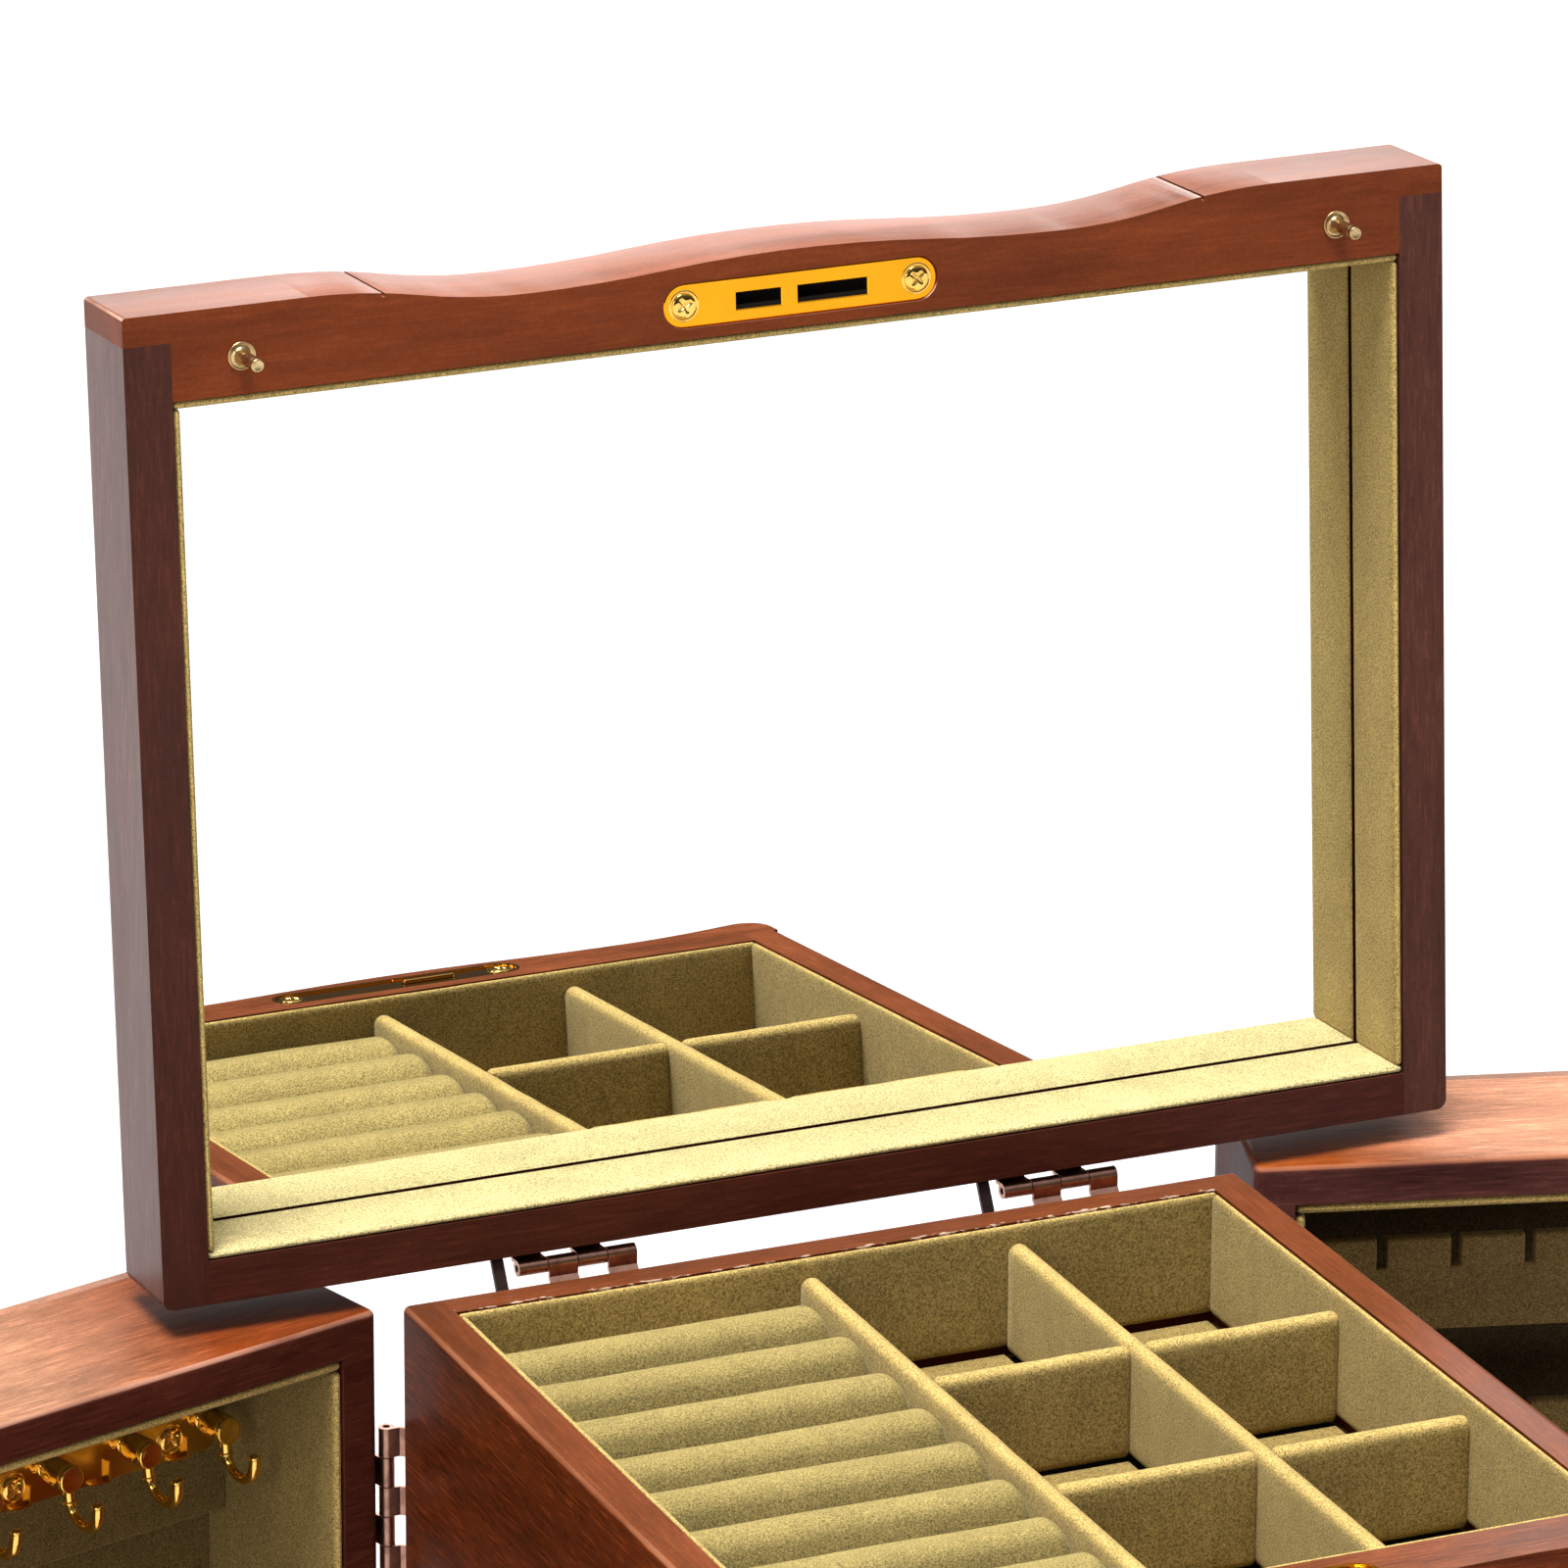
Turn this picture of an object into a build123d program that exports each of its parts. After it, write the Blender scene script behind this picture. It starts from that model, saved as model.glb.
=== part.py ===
from build123d import *
import math
import os

os.makedirs("parts", exist_ok=True)

# Tiered jewelry box, shown open: lid raised, both side doors swung out, drawers shut.
# X runs to the right, Y to the back and Z up. The origin is on the floor under the middle
# of the closed box. All lengths are in millimetres, all angles in degrees.

# Closed box
chest_width = 250.0
closed_depth = 272.0
carcass_height = 274.0
door_depth = 66.0
lid_thick = 32.0
plinth_thick = 14.0
base_board_thick = 18.0

# Serpentine front line, measured back from its flat ends
crest_past_seam = 15.0
hollow_offset = 78.0
hollow_set = 6.0
centre_set = 2.4
chest_set_back = 2.0
seam_round = 8.0

# Boards
side_thick = 11.5
back_thick = 10.8
bottom_thick = 4.0
shelf_thick = 4.0
side_front_gap = 17.5
rail_step = 8.2
tray_rail_height = 52.0
edge_round = 2.0
small_round = 0.6

# Ring and jewelry tray in the top of the chest
lining_thick = 2.3
lining_drop = 0.7
tray_deep = 37.4
floor_thick = 2.0
floor_gap = 1.5
divider_thick = 6.0
divider_drop = 5.3
ring_bay_width = 97.7
roll_count = 9
roll_drop = 8.8
roll_gap = 0.5
roll_pinch = 1.6
soft_gap = 0.3

# Lid
lid_gap = 0.5
lid_reveal = 1.0
lid_side_width = 13.2
lid_front_width = 23.8
lid_back_width = 12.2
lid_front_lap = 8.0
lid_panel_thick = 3.5
lid_panel_rebate = 5.0
lid_round = 3.0
lid_lining_thick = 2.4
mirror_thick = 2.0
kerf_from_centre = 119.2
kerf_width = 0.9
kerf_deep = 1.2
lid_open_angle = 94.0

# Side doors
door_gap = 0.4
door_rim = 11.6
door_panel_thick = 5.0
door_drop = 0.8
door_lift = 0.6
door_round = 2.6
door_open_angle = 74.0
door_lining_thick = 2.3
door_wall_lining_thick = 3.4

# Necklace hooks in the left door
hook_count = 9
hook_first = 25.3
hook_last = 35.1
hook_wire_radius = 1.4
wire_sides = 6
hook_bend = 6.6
hook_drop = 5.6
hook_rise = 2.2
post_radius = 4.0
post_length = 15.0
post_neck = 2.8
post_waist = 5.4
post_below_top = 5.0
wire_from_end = 2.2
tab_wide = 6.0
tab_thick = 0.8
tab_out = 1.6
rail_drop = 35.2
rail_high = 16.0
rail_thick = 1.0
rail_screw_aside = 9.3
rail_screw_low = 4.9
rail_screw_radius = 3.5
board_high = 55.9
board_thick = 8.7
board_round = 1.5

# Slotted earring combs in the right door
comb_count = 4
comb_drop = 24.0
comb_foot = 37.4
comb_high = 28.6
comb_thick = 4.0
comb_depth = 30.0
slot_count = 11
slot_first = 21.2
slot_last = 33.8
slot_wide = 2.5
slot_deep = 9.1

# Butt hinges with rolled knuckles
knuckle_radius = 2.2
hinge_bore_radius = 1.05
hinge_pin_radius = 1.0
leaf_thick = 1.0
leaf_length = 14.0
hinge_standoff = 4.5
hinge_past_seam = 3.0
crank_start = 3.0
crank_run = 2.5
knuckle_pitch = 8.7
knuckle_gap = 0.3
pin_recess = 1.5
lid_hinge_knuckles = 4
door_hinge_knuckles = 5
lid_hinge_spread = 72.4
door_hinge_inset = 37.0
stop_arm_width = 3.4
stop_arm_gap = 4.0
stop_arm_thick = 1.2
stop_arm_foot = 8.0
stop_arm_reach = 9.0
stop_arm_clear = 0.3

# Screws
screw_head_radius = 2.3
screw_head_high = 0.7
screw_sides = 12

# Lock
plate_length = 80.0
plate_width = 12.4
plate_thick = 1.6
plate_line = 14.6
plate_rim = 1.3
plate_dish = 0.5
plate_screw_spread = 33.9
plate_screw_radius = 3.2
slot_width = 2.7
strike_short_slot = 12.8
strike_long_slot = 19.9
strike_short_centre = -12.1
strike_long_centre = 9.45
bolt_thick = 1.5
bolt_start = 2.2
bolt_length = 16.4
bolt_proud = 0.8
bolt_travel = 3.6
bolt_tail = 9.0
bolt_clear = 0.3
case_length = 54.0
case_width = 9.0
case_deep = 34.0
mortise_clear = 0.3
keyhole_drop = 22.0
keyhole_radius = 2.2
keyhole_slot = 1.8
keyhole_foot = 6.5
scutcheon_high = 22.0
scutcheon_wide = 13.0
scutcheon_thick = 1.2

# Locating pins
pin_from_door_side = 31.6
pin_line = 13.5
pin_radius = 1.7
pin_stand = 11.7
pin_round = 0.8
ferrule_radius = 3.6
ferrule_high = 0.8
ferrule_length = 8.0
pin_hole_radius = 2.4
pin_hole_deep = 10.5

# Drawers
drawer_count = 4
front_gap = 2.0
drawer_side_gap = 0.5
drawer_run_gap = 0.4
drawer_head_room = 3.0
drawer_board = 6.0
drawer_bottom = 3.5
drawer_back_gap = 14.0
knob_spread = 78.0
knob_radius = 6.5
knob_stand = 15.0
knob_neck = 2.6
knob_head = 9.0
knob_rim = 2.4
knob_seat_gap = 0.1

# Base
plinth_out = 5.0
plinth_back_out = 1.0
plinth_bevel = 5.0
base_board_bevel = 2.0

overrun = 1.0

# Places that follow from the sizes
chest_half = chest_width / 2
back_y = closed_depth / 2
front_y = -closed_depth / 2
floor_z = plinth_thick + base_board_thick
rim_z = floor_z + carcass_height
lid_half = chest_half + door_depth + lid_reveal
crest_offset = chest_half + crest_past_seam
side_front_y = front_y + side_front_gap
inner_half = chest_half - side_thick
inner_back = back_y - back_thick
plate_y = front_y + plate_line
lid_low = rim_z + lid_gap
lid_top = lid_low + lid_thick
hinge_y = back_y + hinge_standoff
hinge_z = rim_z + hinge_past_seam
door_in = -chest_half - door_gap
door_out = -chest_half - door_depth
door_top = rim_z - door_drop
door_low = floor_z + door_lift
door_hinge_x = -chest_half - hinge_past_seam
tray_floor_z = rim_z - tray_deep
lining_in_half = inner_half - lining_thick
lining_back = inner_back - lining_thick
rail_back_y = side_front_y + rail_step
lining_front = rail_back_y + lining_thick
drawer_zone = carcass_height - tray_rail_height
drawer_pitch = drawer_zone / drawer_count
pin_x = -door_out - pin_from_door_side
pin_y = front_y + pin_line
strike_slots = ((strike_short_centre, strike_short_slot), (strike_long_centre, strike_long_slot))


def block(x, y, z):
    """Box between the low and high places given for each axis."""
    centre = Pos((x[0] + x[1]) / 2, (y[0] + y[1]) / 2, (z[0] + z[1]) / 2)
    return centre * Box(x[1] - x[0], y[1] - y[0], z[1] - z[0])


def rod(radius, start, along, length):
    """Round bar from a start point along a direction."""
    return Plane(origin=start, z_dir=along).location * Cylinder(
        radius, length, align=(Align.CENTER, Align.CENTER, Align.MIN))


def front_line(reach, set_back):
    """Serpentine line from left to right: flat end, crest, hollow, swelling middle, and back."""
    front = front_y + set_back
    half = [(crest_offset, front), (hollow_offset, front + hollow_set), (0, front + centre_set)]
    stations = [(-x, y) for x, y in half] + half[-2::-1]
    edges = [Line((-reach, front), stations[0])]
    for left, right in zip(stations, stations[1:]):
        middle = ((left[0] + right[0]) / 2, (left[1] + right[1]) / 2)
        edges.append(TangentArc(left, middle, tangent=(1, 0)))
        edges.append(TangentArc(right, middle, tangent=(-1, 0)))
    edges.append(Line(stations[-1], (reach, front)))
    return edges


def serpentine_slab(reach, set_back, back, z):
    """Slab with the serpentine front line and three straight sides."""
    front = front_y + set_back
    outline = front_line(reach, set_back)
    outline.append(Line((reach, front), (reach, back)))
    outline.append(Line((reach, back), (-reach, back)))
    outline.append(Line((-reach, back), (-reach, front)))
    return extrude(Pos(0, 0, z[0]) * make_face(Curve() + outline), z[1] - z[0], dir=(0, 0, 1))


def upright_edges(part):
    return part.edges().filter_by(Axis.Z)


def chest_front_board(z):
    """Board with the chest's serpentine front, rounded back to the side at each end."""
    slab = serpentine_slab(lid_half, chest_set_back, side_front_y, z)
    board = slab & block((-chest_half, chest_half), (front_y - overrun, side_front_y), z)
    ends = upright_edges(board).group_by(Axis.Y)[0] + upright_edges(board).group_by(Axis.Y)[1]
    corners = [edge for edge in ends if abs(abs(edge.center().X) - chest_half) < small_round]
    return fillet(corners, seam_round)


def front_face_y(x):
    """Depth of the chest's front face at the middle swelling or at a hollow."""
    drop = centre_set if x == 0 else hollow_set
    return front_y + chest_set_back + drop


# Chest

def chest_side(sign):
    board = block((-chest_half, -inner_half), (side_front_y, back_y), (floor_z, rim_z))
    board = fillet(board.edges().filter_by(Axis.Z).group_by(Axis.Y)[-1].group_by(Axis.X)[0], edge_round)
    top = board.faces().sort_by(Axis.Z)[-1]
    outer = top.edges().group_by(Axis.X)[0]
    board = fillet(outer, edge_round)
    return board if sign < 0 else mirror(board, about=Plane.YZ)


def chest_back():
    board = block((-inner_half, inner_half), (inner_back, back_y), (floor_z, rim_z))
    top = board.faces().sort_by(Axis.Z)[-1]
    return fillet(top.edges().sort_by(Axis.Y)[-1:], edge_round)


def chest_bottom():
    return block((-inner_half, inner_half), (side_front_y, inner_back), (floor_z, floor_z + bottom_thick))


def shelf_boards():
    """Board under the tray, and one between each two drawers."""
    tray_board_top = tray_floor_z - floor_thick
    levels = [(tray_board_top - shelf_thick, tray_board_top)]
    for step in range(1, drawer_count):
        middle = floor_z + step * drawer_pitch
        levels.append((middle - shelf_thick / 2, middle + shelf_thick / 2))
    boards = []
    for low, high in levels:
        front = rail_back_y if high == tray_board_top else side_front_y
        boards.append(block((-inner_half, inner_half), (front, inner_back), (low, high)))
    return boards


def stadium(length, width, z):
    """Flat plate with half-round ends, along X at the lock line."""
    return extrude(Pos(0, plate_y, z[0]) * SlotOverall(length, width), z[1] - z[0])


def tray_front_rail():
    """Serpentine board in front of the tray, notched over the chest sides and mortised for the lock."""
    z = (rim_z - tray_rail_height, rim_z)
    board = chest_front_board(z)
    inner = block((-inner_half, inner_half), (side_front_y, rail_back_y), z)
    board = board + inner
    board = board - stadium(plate_length, plate_width, (rim_z - plate_thick, rim_z + overrun))
    case_top = rim_z - plate_thick
    mortise = case_block(mortise_clear, (case_top - case_deep - mortise_clear, case_top))
    board = board - mortise
    return board - keyhole(front_y - overrun, plate_y)


def case_block(clear, z):
    half = case_length / 2 + clear
    deep = case_width / 2 + clear
    return block((-half, half), (plate_y - deep, plate_y + deep), z)


def keyhole(start, end):
    """Round hole with a straight foot, cut from the front."""
    z = rim_z - keyhole_drop
    bore = rod(keyhole_radius, (0, start, z), (0, 1, 0), end - start)
    foot = block((-keyhole_slot / 2, keyhole_slot / 2), (start, end), (z - keyhole_foot, z))
    return bore + foot


def keyhole_escutcheon():
    """Oval brass plate on the swelling middle of the tray rail."""
    face = front_face_y(0)
    z = rim_z - keyhole_drop - keyhole_foot / 4
    seat = Plane(origin=(0, face, z), x_dir=(1, 0, 0), z_dir=(0, -1, 0)).location
    plate = seat * extrude(Ellipse(scutcheon_wide / 2, scutcheon_high / 2), scutcheon_thick)
    plate = chamfer(plate.edges().sort_by(Axis.Y)[0], small_round)
    return plate - keyhole(face - scutcheon_thick - overrun, face + overrun)


bolt_space = (bolt_start - bolt_clear, bolt_start + bolt_length + bolt_clear)


def lock_case():
    """Lock case in its mortise, with the slot that the bolt rises in."""
    top = rim_z - plate_thick
    body = case_block(0, (top - case_deep, top))
    deep = bolt_thick / 2 + bolt_clear
    cavity = block(bolt_space, (plate_y - deep, plate_y + deep), (top - bolt_tail - bolt_clear, top + overrun))
    return body - cavity - keyhole(front_y, plate_y - deep)


def dished_plate(z_low, facing):
    """Stadium plate with a raised rim, dished on its outer side (facing +1 up, -1 down)."""
    z = (z_low, z_low + plate_thick)
    plate = stadium(plate_length, plate_width, z)
    inner_length = plate_length - 2 * plate_rim
    inner_width = plate_width - 2 * plate_rim
    if facing > 0:
        dish = stadium(inner_length, inner_width, (z[1] - plate_dish, z[1] + overrun))
    else:
        dish = stadium(inner_length, inner_width, (z[0] - overrun, z[0] + plate_dish))
    return plate - dish


def plate_slot(low, high, z):
    half = slot_width / 2
    return block((low, high), (plate_y - half, plate_y + half), (z - overrun, z + plate_thick + overrun))


def lock_plate():
    z = rim_z - plate_thick
    return dished_plate(z, 1) - plate_slot(bolt_space[0], bolt_space[1], z)


def screw_head(seat, axis, radius):
    """Head of a screw that is driven home, standing on its seat."""
    head = extrude(RegularPolygon(radius, screw_sides), screw_head_high)
    return Plane(origin=seat, z_dir=axis).location * head


def lock_screws():
    seat = rim_z - plate_dish
    return [screw_head((sign * plate_screw_spread, plate_y, seat), (0, 0, 1), plate_screw_radius)
            for sign in (-1, 1)]


def lock_bolt():
    """Flat bolt, drawn in until only its edge stands proud of the plate."""
    half = bolt_thick / 2
    bolt = block((bolt_start, bolt_start + bolt_length), (plate_y - half, plate_y + half),
                 (rim_z - plate_thick - bolt_tail, rim_z + bolt_proud))
    nose = bolt.edges().filter_by(Axis.Y).group_by(Axis.Z)[-1]
    return chamfer(nose, bolt_proud / 2)


# Tray in the top of the chest

def tray_wall_lining():
    """Padded strips along the four walls of the tray, rounded over at the top."""
    z = (tray_floor_z + floor_gap, rim_z - lining_drop)
    long_x = (-inner_half, inner_half)
    strips = [
        block(long_x, (lining_back, inner_back), z),
        block(long_x, (rail_back_y, lining_front), z),
        block((-inner_half, -lining_in_half), (lining_front, lining_back), z),
        block((lining_in_half, inner_half), (lining_front, lining_back), z),
    ]
    rounded = []
    for strip in strips:
        top = strip.faces().sort_by(Axis.Z)[-1]
        long = max(edge.length for edge in top.edges())
        rims = [edge for edge in top.edges() if edge.length > long - small_round]
        rounded.append(fillet(rims, lining_thick / 3))
    return rounded


def tray_floor():
    z = (tray_floor_z - floor_thick, tray_floor_z)
    return block((-inner_half, inner_half), (rail_back_y, inner_back), z)


divider_a = -lining_in_half + ring_bay_width + divider_thick / 2
divider_b = (divider_a + divider_thick / 2 + lining_in_half) / 2
cell_depth = (lining_back - lining_front) / 3


def round_top(board):
    """Round the two long top edges of a divider."""
    top = board.faces().sort_by(Axis.Z)[-1]
    long = max(edge.length for edge in top.edges())
    rims = [edge for edge in top.edges() if edge.length > long - small_round]
    return fillet(rims, divider_thick * 0.42)


def tray_dividers():
    """Two long dividers, and cross pieces that part the right side into six cells."""
    z = (tray_floor_z, rim_z - divider_drop)
    half = divider_thick / 2
    y = (lining_front + soft_gap, lining_back - soft_gap)
    pieces = [round_top(block((x - half, x + half), y, z)) for x in (divider_a, divider_b)]
    spans = [(divider_a + half, divider_b - half), (divider_b + half, lining_in_half)]
    for row in (1, 2):
        middle = lining_back - row * cell_depth
        for low, high in spans:
            span = (low + soft_gap, high - soft_gap)
            pieces.append(round_top(block(span, (middle - half, middle + half), z)))
    return pieces


def ring_rolls():
    """Padded bars side by side: a half-round crown on upright sides, pinched in at both ends."""
    pitch = (lining_back - lining_front) / roll_count
    half = pitch / 2 - roll_gap / 2
    crown = rim_z - roll_drop
    shoulder = crown - half
    low = tray_floor_z
    x_low = -lining_in_half + soft_gap
    x_high = divider_a - divider_thick / 2 - soft_gap
    rolls = []
    for step in range(roll_count):
        middle = lining_front + (step + 1 / 2) * pitch
        sections = []
        for x, pinch in ((x_low, roll_pinch), (x_low + roll_pinch, 0), (x_high - 2 * roll_pinch, 0),
                         (x_high, roll_pinch)):
            width = half - pinch / 2
            top = shoulder + half - pinch
            outline = Curve() + [
                Line((-width, low), (width, low)),
                Line((width, low), (width, shoulder - pinch)),
                ThreePointArc((width, shoulder - pinch), (0, top), (-width, shoulder - pinch)),
                Line((-width, shoulder - pinch), (-width, low)),
            ]
            frame = Plane(origin=(x, middle, 0), x_dir=(0, 1, 0), z_dir=(1, 0, 0))
            sections.append(frame.location * make_face(outline))
        rolls.append(loft(sections, ruled=True))
    return rolls


# Base

def base_plinth():
    """Serpentine moulding that stands on the floor, bevelled at the top."""
    slab = serpentine_slab(lid_half + plinth_out, -plinth_out, back_y + plinth_back_out, (0, plinth_thick))
    return chamfer(slab.faces().sort_by(Axis.Z)[-1].edges(), plinth_bevel)


def base_board():
    """Serpentine board on the moulding, as wide as the lid, that the shut doors close over."""
    slab = serpentine_slab(lid_half, 0, back_y, (plinth_thick, floor_z))
    return chamfer(slab.faces().sort_by(Axis.Z)[-1].edges(), base_board_bevel)


# Hinges

def leaf_section():
    """Section of a leaf around the pin's axis: rolled knuckle, crank and plate."""
    near = knuckle_radius - leaf_thick
    plate_start = crank_start + crank_run
    strip = make_face(Polyline(
        (0, -near), (crank_start + leaf_thick / 2, -near),
        (plate_start + leaf_thick / 2, leaf_thick - hinge_standoff),
        (plate_start + leaf_length, leaf_thick - hinge_standoff), (plate_start + leaf_length, -hinge_standoff),
        (plate_start, -hinge_standoff), (crank_start, -knuckle_radius), (0, -knuckle_radius), close=True))
    return Circle(knuckle_radius) + strip - Circle(hinge_bore_radius)


def leaf_screw_places(knuckles):
    """Two screws along the middle of a leaf's plate."""
    reach = knuckles * knuckle_pitch / 4
    middle = crank_start + crank_run + leaf_length / 2
    return [(-reach, middle), (reach, middle)]


def hinge_leaf(knuckles, first):
    """Leaf with every second knuckle, its axis on X and its plate towards +Y, below the axis."""
    length = knuckles * knuckle_pitch - knuckle_gap
    frame = Plane(origin=(-length / 2, 0, 0), x_dir=(0, 1, 0), z_dir=(1, 0, 0))
    leaf = extrude(frame.location * leaf_section(), length, dir=(1, 0, 0))
    reach = (-knuckle_radius - overrun, crank_start + crank_run)
    for step in range(1 - first, knuckles, 2):
        start = step * knuckle_pitch - length / 2
        low = start - overrun if step == 0 else start - knuckle_gap
        high = start + knuckle_pitch
        leaf = leaf - block((low, high), reach, (-hinge_standoff - overrun, knuckle_radius + overrun))
    return leaf


def leaf_screws(knuckles):
    top = -hinge_standoff + leaf_thick
    return [screw_head((x, y, top), (0, 0, 1), screw_head_radius) for x, y in leaf_screw_places(knuckles)]


def hinge_pin(knuckles):
    length = knuckles * knuckle_pitch - knuckle_gap - 2 * pin_recess
    return Rot(0, 90, 0) * Cylinder(hinge_pin_radius, length)


def lid_hinge_seat(x, turned):
    """Frame on a lid hinge's axis: plate down behind the chest, or up behind the closed lid."""
    return Plane(origin=(x, hinge_y, hinge_z), x_dir=(-1 if turned else 1, 0, 0), z_dir=(0, 1, 0)).location


lid_hinge_places = (-lid_hinge_spread, lid_hinge_spread)
door_hinge_length = door_hinge_knuckles * knuckle_pitch - knuckle_gap
door_hinge_places = (
    rim_z - door_hinge_inset - door_hinge_length / 2,
    floor_z + door_hinge_inset + door_hinge_length / 2,
)


def door_hinge_seat(z, turned):
    """Frame on the left door's hinge axis: plate over the chest's back, or over the door's end."""
    return Plane(origin=(door_hinge_x, hinge_y, z), x_dir=(0, 0, -1 if turned else 1),
                 z_dir=(0, 1, 0)).location


def both_sides(parts):
    return parts + [mirror(part, about=Plane.YZ) for part in parts]


def chest_lid_hinge_leaves():
    return [lid_hinge_seat(x, False) * hinge_leaf(lid_hinge_knuckles, 1) for x in lid_hinge_places]


def chest_door_hinge_leaves():
    return both_sides([door_hinge_seat(z, False) * hinge_leaf(door_hinge_knuckles, 0)
                       for z in door_hinge_places])


def chest_hinge_screws():
    screws = [lid_hinge_seat(x, False) * screw for x in lid_hinge_places
              for screw in leaf_screws(lid_hinge_knuckles)]
    doors = [door_hinge_seat(z, False) * screw for z in door_hinge_places
             for screw in leaf_screws(door_hinge_knuckles)]
    return screws + both_sides(doors)


def hinge_pins():
    pins = [lid_hinge_seat(x, False) * hinge_pin(lid_hinge_knuckles) for x in lid_hinge_places]
    doors = [door_hinge_seat(z, False) * hinge_pin(door_hinge_knuckles) for z in door_hinge_places]
    return pins + both_sides(doors)


# Lid, made shut and then raised about its hinge axis

def raised(parts):
    axis = Axis((0, hinge_y, hinge_z), (1, 0, 0))
    return [part.rotate(axis, -lid_open_angle) for part in parts]


def lid_blank():
    """Whole lid as one serpentine board with rounded outer edges and a saw kerf at each seam."""
    blank = serpentine_slab(lid_half, 0, back_y, (lid_low, lid_top))
    corners = upright_edges(blank)
    blank = fillet(corners.group_by(Axis.Y)[-1], lid_round)
    ends = [edge for edge in upright_edges(blank) if abs(edge.center().X) > lid_half - small_round
            and edge.center().Y < front_y + small_round]
    blank = fillet(ends, small_round * 2)
    top = blank.faces().sort_by(Axis.Z)[-1]
    blank = fillet(top.edges(), lid_round)
    deep_y = front_y + hollow_set * 0.2 + kerf_deep
    for sign in (-1, 1):
        x = sign * kerf_from_centre
        kerf = block((x - kerf_width / 2, x + kerf_width / 2), (front_y - overrun, deep_y),
                     (lid_low - overrun, lid_top + overrun))
        blank = blank - kerf
    return blank


blank_lid = lid_blank()
opening_x = lid_half - lid_side_width
opening_front = front_y + lid_front_width
opening_back = back_y - lid_back_width
panel_low = lid_top - lid_panel_thick


def lid_well():
    """Space inside the lid's frame, and the rebate that its panel fills."""
    well = block((-opening_x, opening_x), (opening_front, opening_back), (lid_low - overrun, panel_low))
    return well + lid_panel_seat(lid_top + overrun)


def lid_panel_seat(top):
    side = opening_x + lid_panel_rebate
    return block((-side, side), (opening_front - lid_panel_rebate, opening_back + lid_panel_rebate),
                 (panel_low, top))


def lid_front_rail():
    z = (lid_low - overrun, lid_top + overrun)
    edge = front_y - overrun
    zone = block((-lid_half, lid_half), (edge, front_y + lid_front_lap), z)
    zone = zone + block((-opening_x, opening_x), (edge, opening_front), z)
    rail = (blank_lid & zone) - lid_well()
    rail = rail - stadium(plate_length, plate_width, (lid_low - overrun, lid_low + plate_thick))
    half = slot_width / 2 + bolt_clear
    pocket_top = rim_z + bolt_proud + bolt_travel + bolt_clear
    for centre, length in strike_slots:
        reach = length / 2 + bolt_clear
        rail = rail - block((centre - reach, centre + reach), (plate_y - half, plate_y + half),
                            (lid_low, pocket_top))
    for sign in (-1, 1):
        rail = rail - rod(pin_radius, (sign * pin_x, pin_y, lid_low), (0, 0, 1), ferrule_length)
    return rail


def lid_stile(sign):
    z = (lid_low - overrun, lid_top + overrun)
    zone = block((-lid_half, -opening_x), (front_y + lid_front_lap, back_y), z)
    stile = (blank_lid & zone) - lid_well()
    return stile if sign < 0 else mirror(stile, about=Plane.YZ)


def lid_back_rail():
    z = (lid_low - overrun, lid_top + overrun)
    zone = block((-opening_x, opening_x), (opening_back, back_y), z)
    return (blank_lid & zone) - lid_well()


def lid_panel():
    return blank_lid & lid_panel_seat(lid_top)


def lid_mirror():
    return block((-opening_x, opening_x), (opening_front, opening_back), (panel_low - mirror_thick, panel_low))


def lid_lining():
    """Padded strips round the inside of the lid's frame, from the mirror to the frame's edge."""
    z = (lid_low + lining_drop, panel_low - mirror_thick - soft_gap)
    thick = lid_lining_thick
    strips = [
        block((-opening_x, opening_x), (opening_back - thick, opening_back), z),
        block((-opening_x, opening_x), (opening_front, opening_front + thick), z),
        block((-opening_x, -opening_x + thick), (opening_front + thick, opening_back - thick), z),
        block((opening_x - thick, opening_x), (opening_front + thick, opening_back - thick), z),
    ]
    rounded = []
    for strip in strips:
        low = strip.faces().sort_by(Axis.Z)[0]
        long = max(edge.length for edge in low.edges())
        rims = [edge for edge in low.edges() if edge.length > long - small_round]
        rounded.append(fillet(rims, thick / 3))
    return rounded


def strike_plate():
    plate = dished_plate(lid_low, -1)
    for centre, length in strike_slots:
        plate = plate - plate_slot(centre - length / 2, centre + length / 2, lid_low)
    return plate


def strike_screws():
    seat = lid_low + plate_dish
    return [screw_head((sign * plate_screw_spread, plate_y, seat), (0, 0, -1), plate_screw_radius)
            for sign in (-1, 1)]


def locating_pins():
    """Turned brass pins with a flange, set in the lid's front rail."""
    profile = make_face(Polyline(
        (0, -ferrule_length), (pin_radius, -ferrule_length), (pin_radius, 0), (ferrule_radius, 0),
        (ferrule_radius, ferrule_high), (pin_radius, ferrule_high), (pin_radius, pin_stand - pin_round),
        (pin_radius - pin_round, pin_stand), (0, pin_stand), close=True))
    turned = Rot(180, 0, 0) * revolve(Plane.XZ.location * profile, Axis.Z)
    return [Pos(sign * pin_x, pin_y, lid_low) * turned for sign in (-1, 1)]


def lid_hinge_leaves():
    return [lid_hinge_seat(x, True) * hinge_leaf(lid_hinge_knuckles, 1) for x in lid_hinge_places]


def lid_hinge_screws():
    return [lid_hinge_seat(x, True) * screw for x in lid_hinge_places
            for screw in leaf_screws(lid_hinge_knuckles)]


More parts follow.
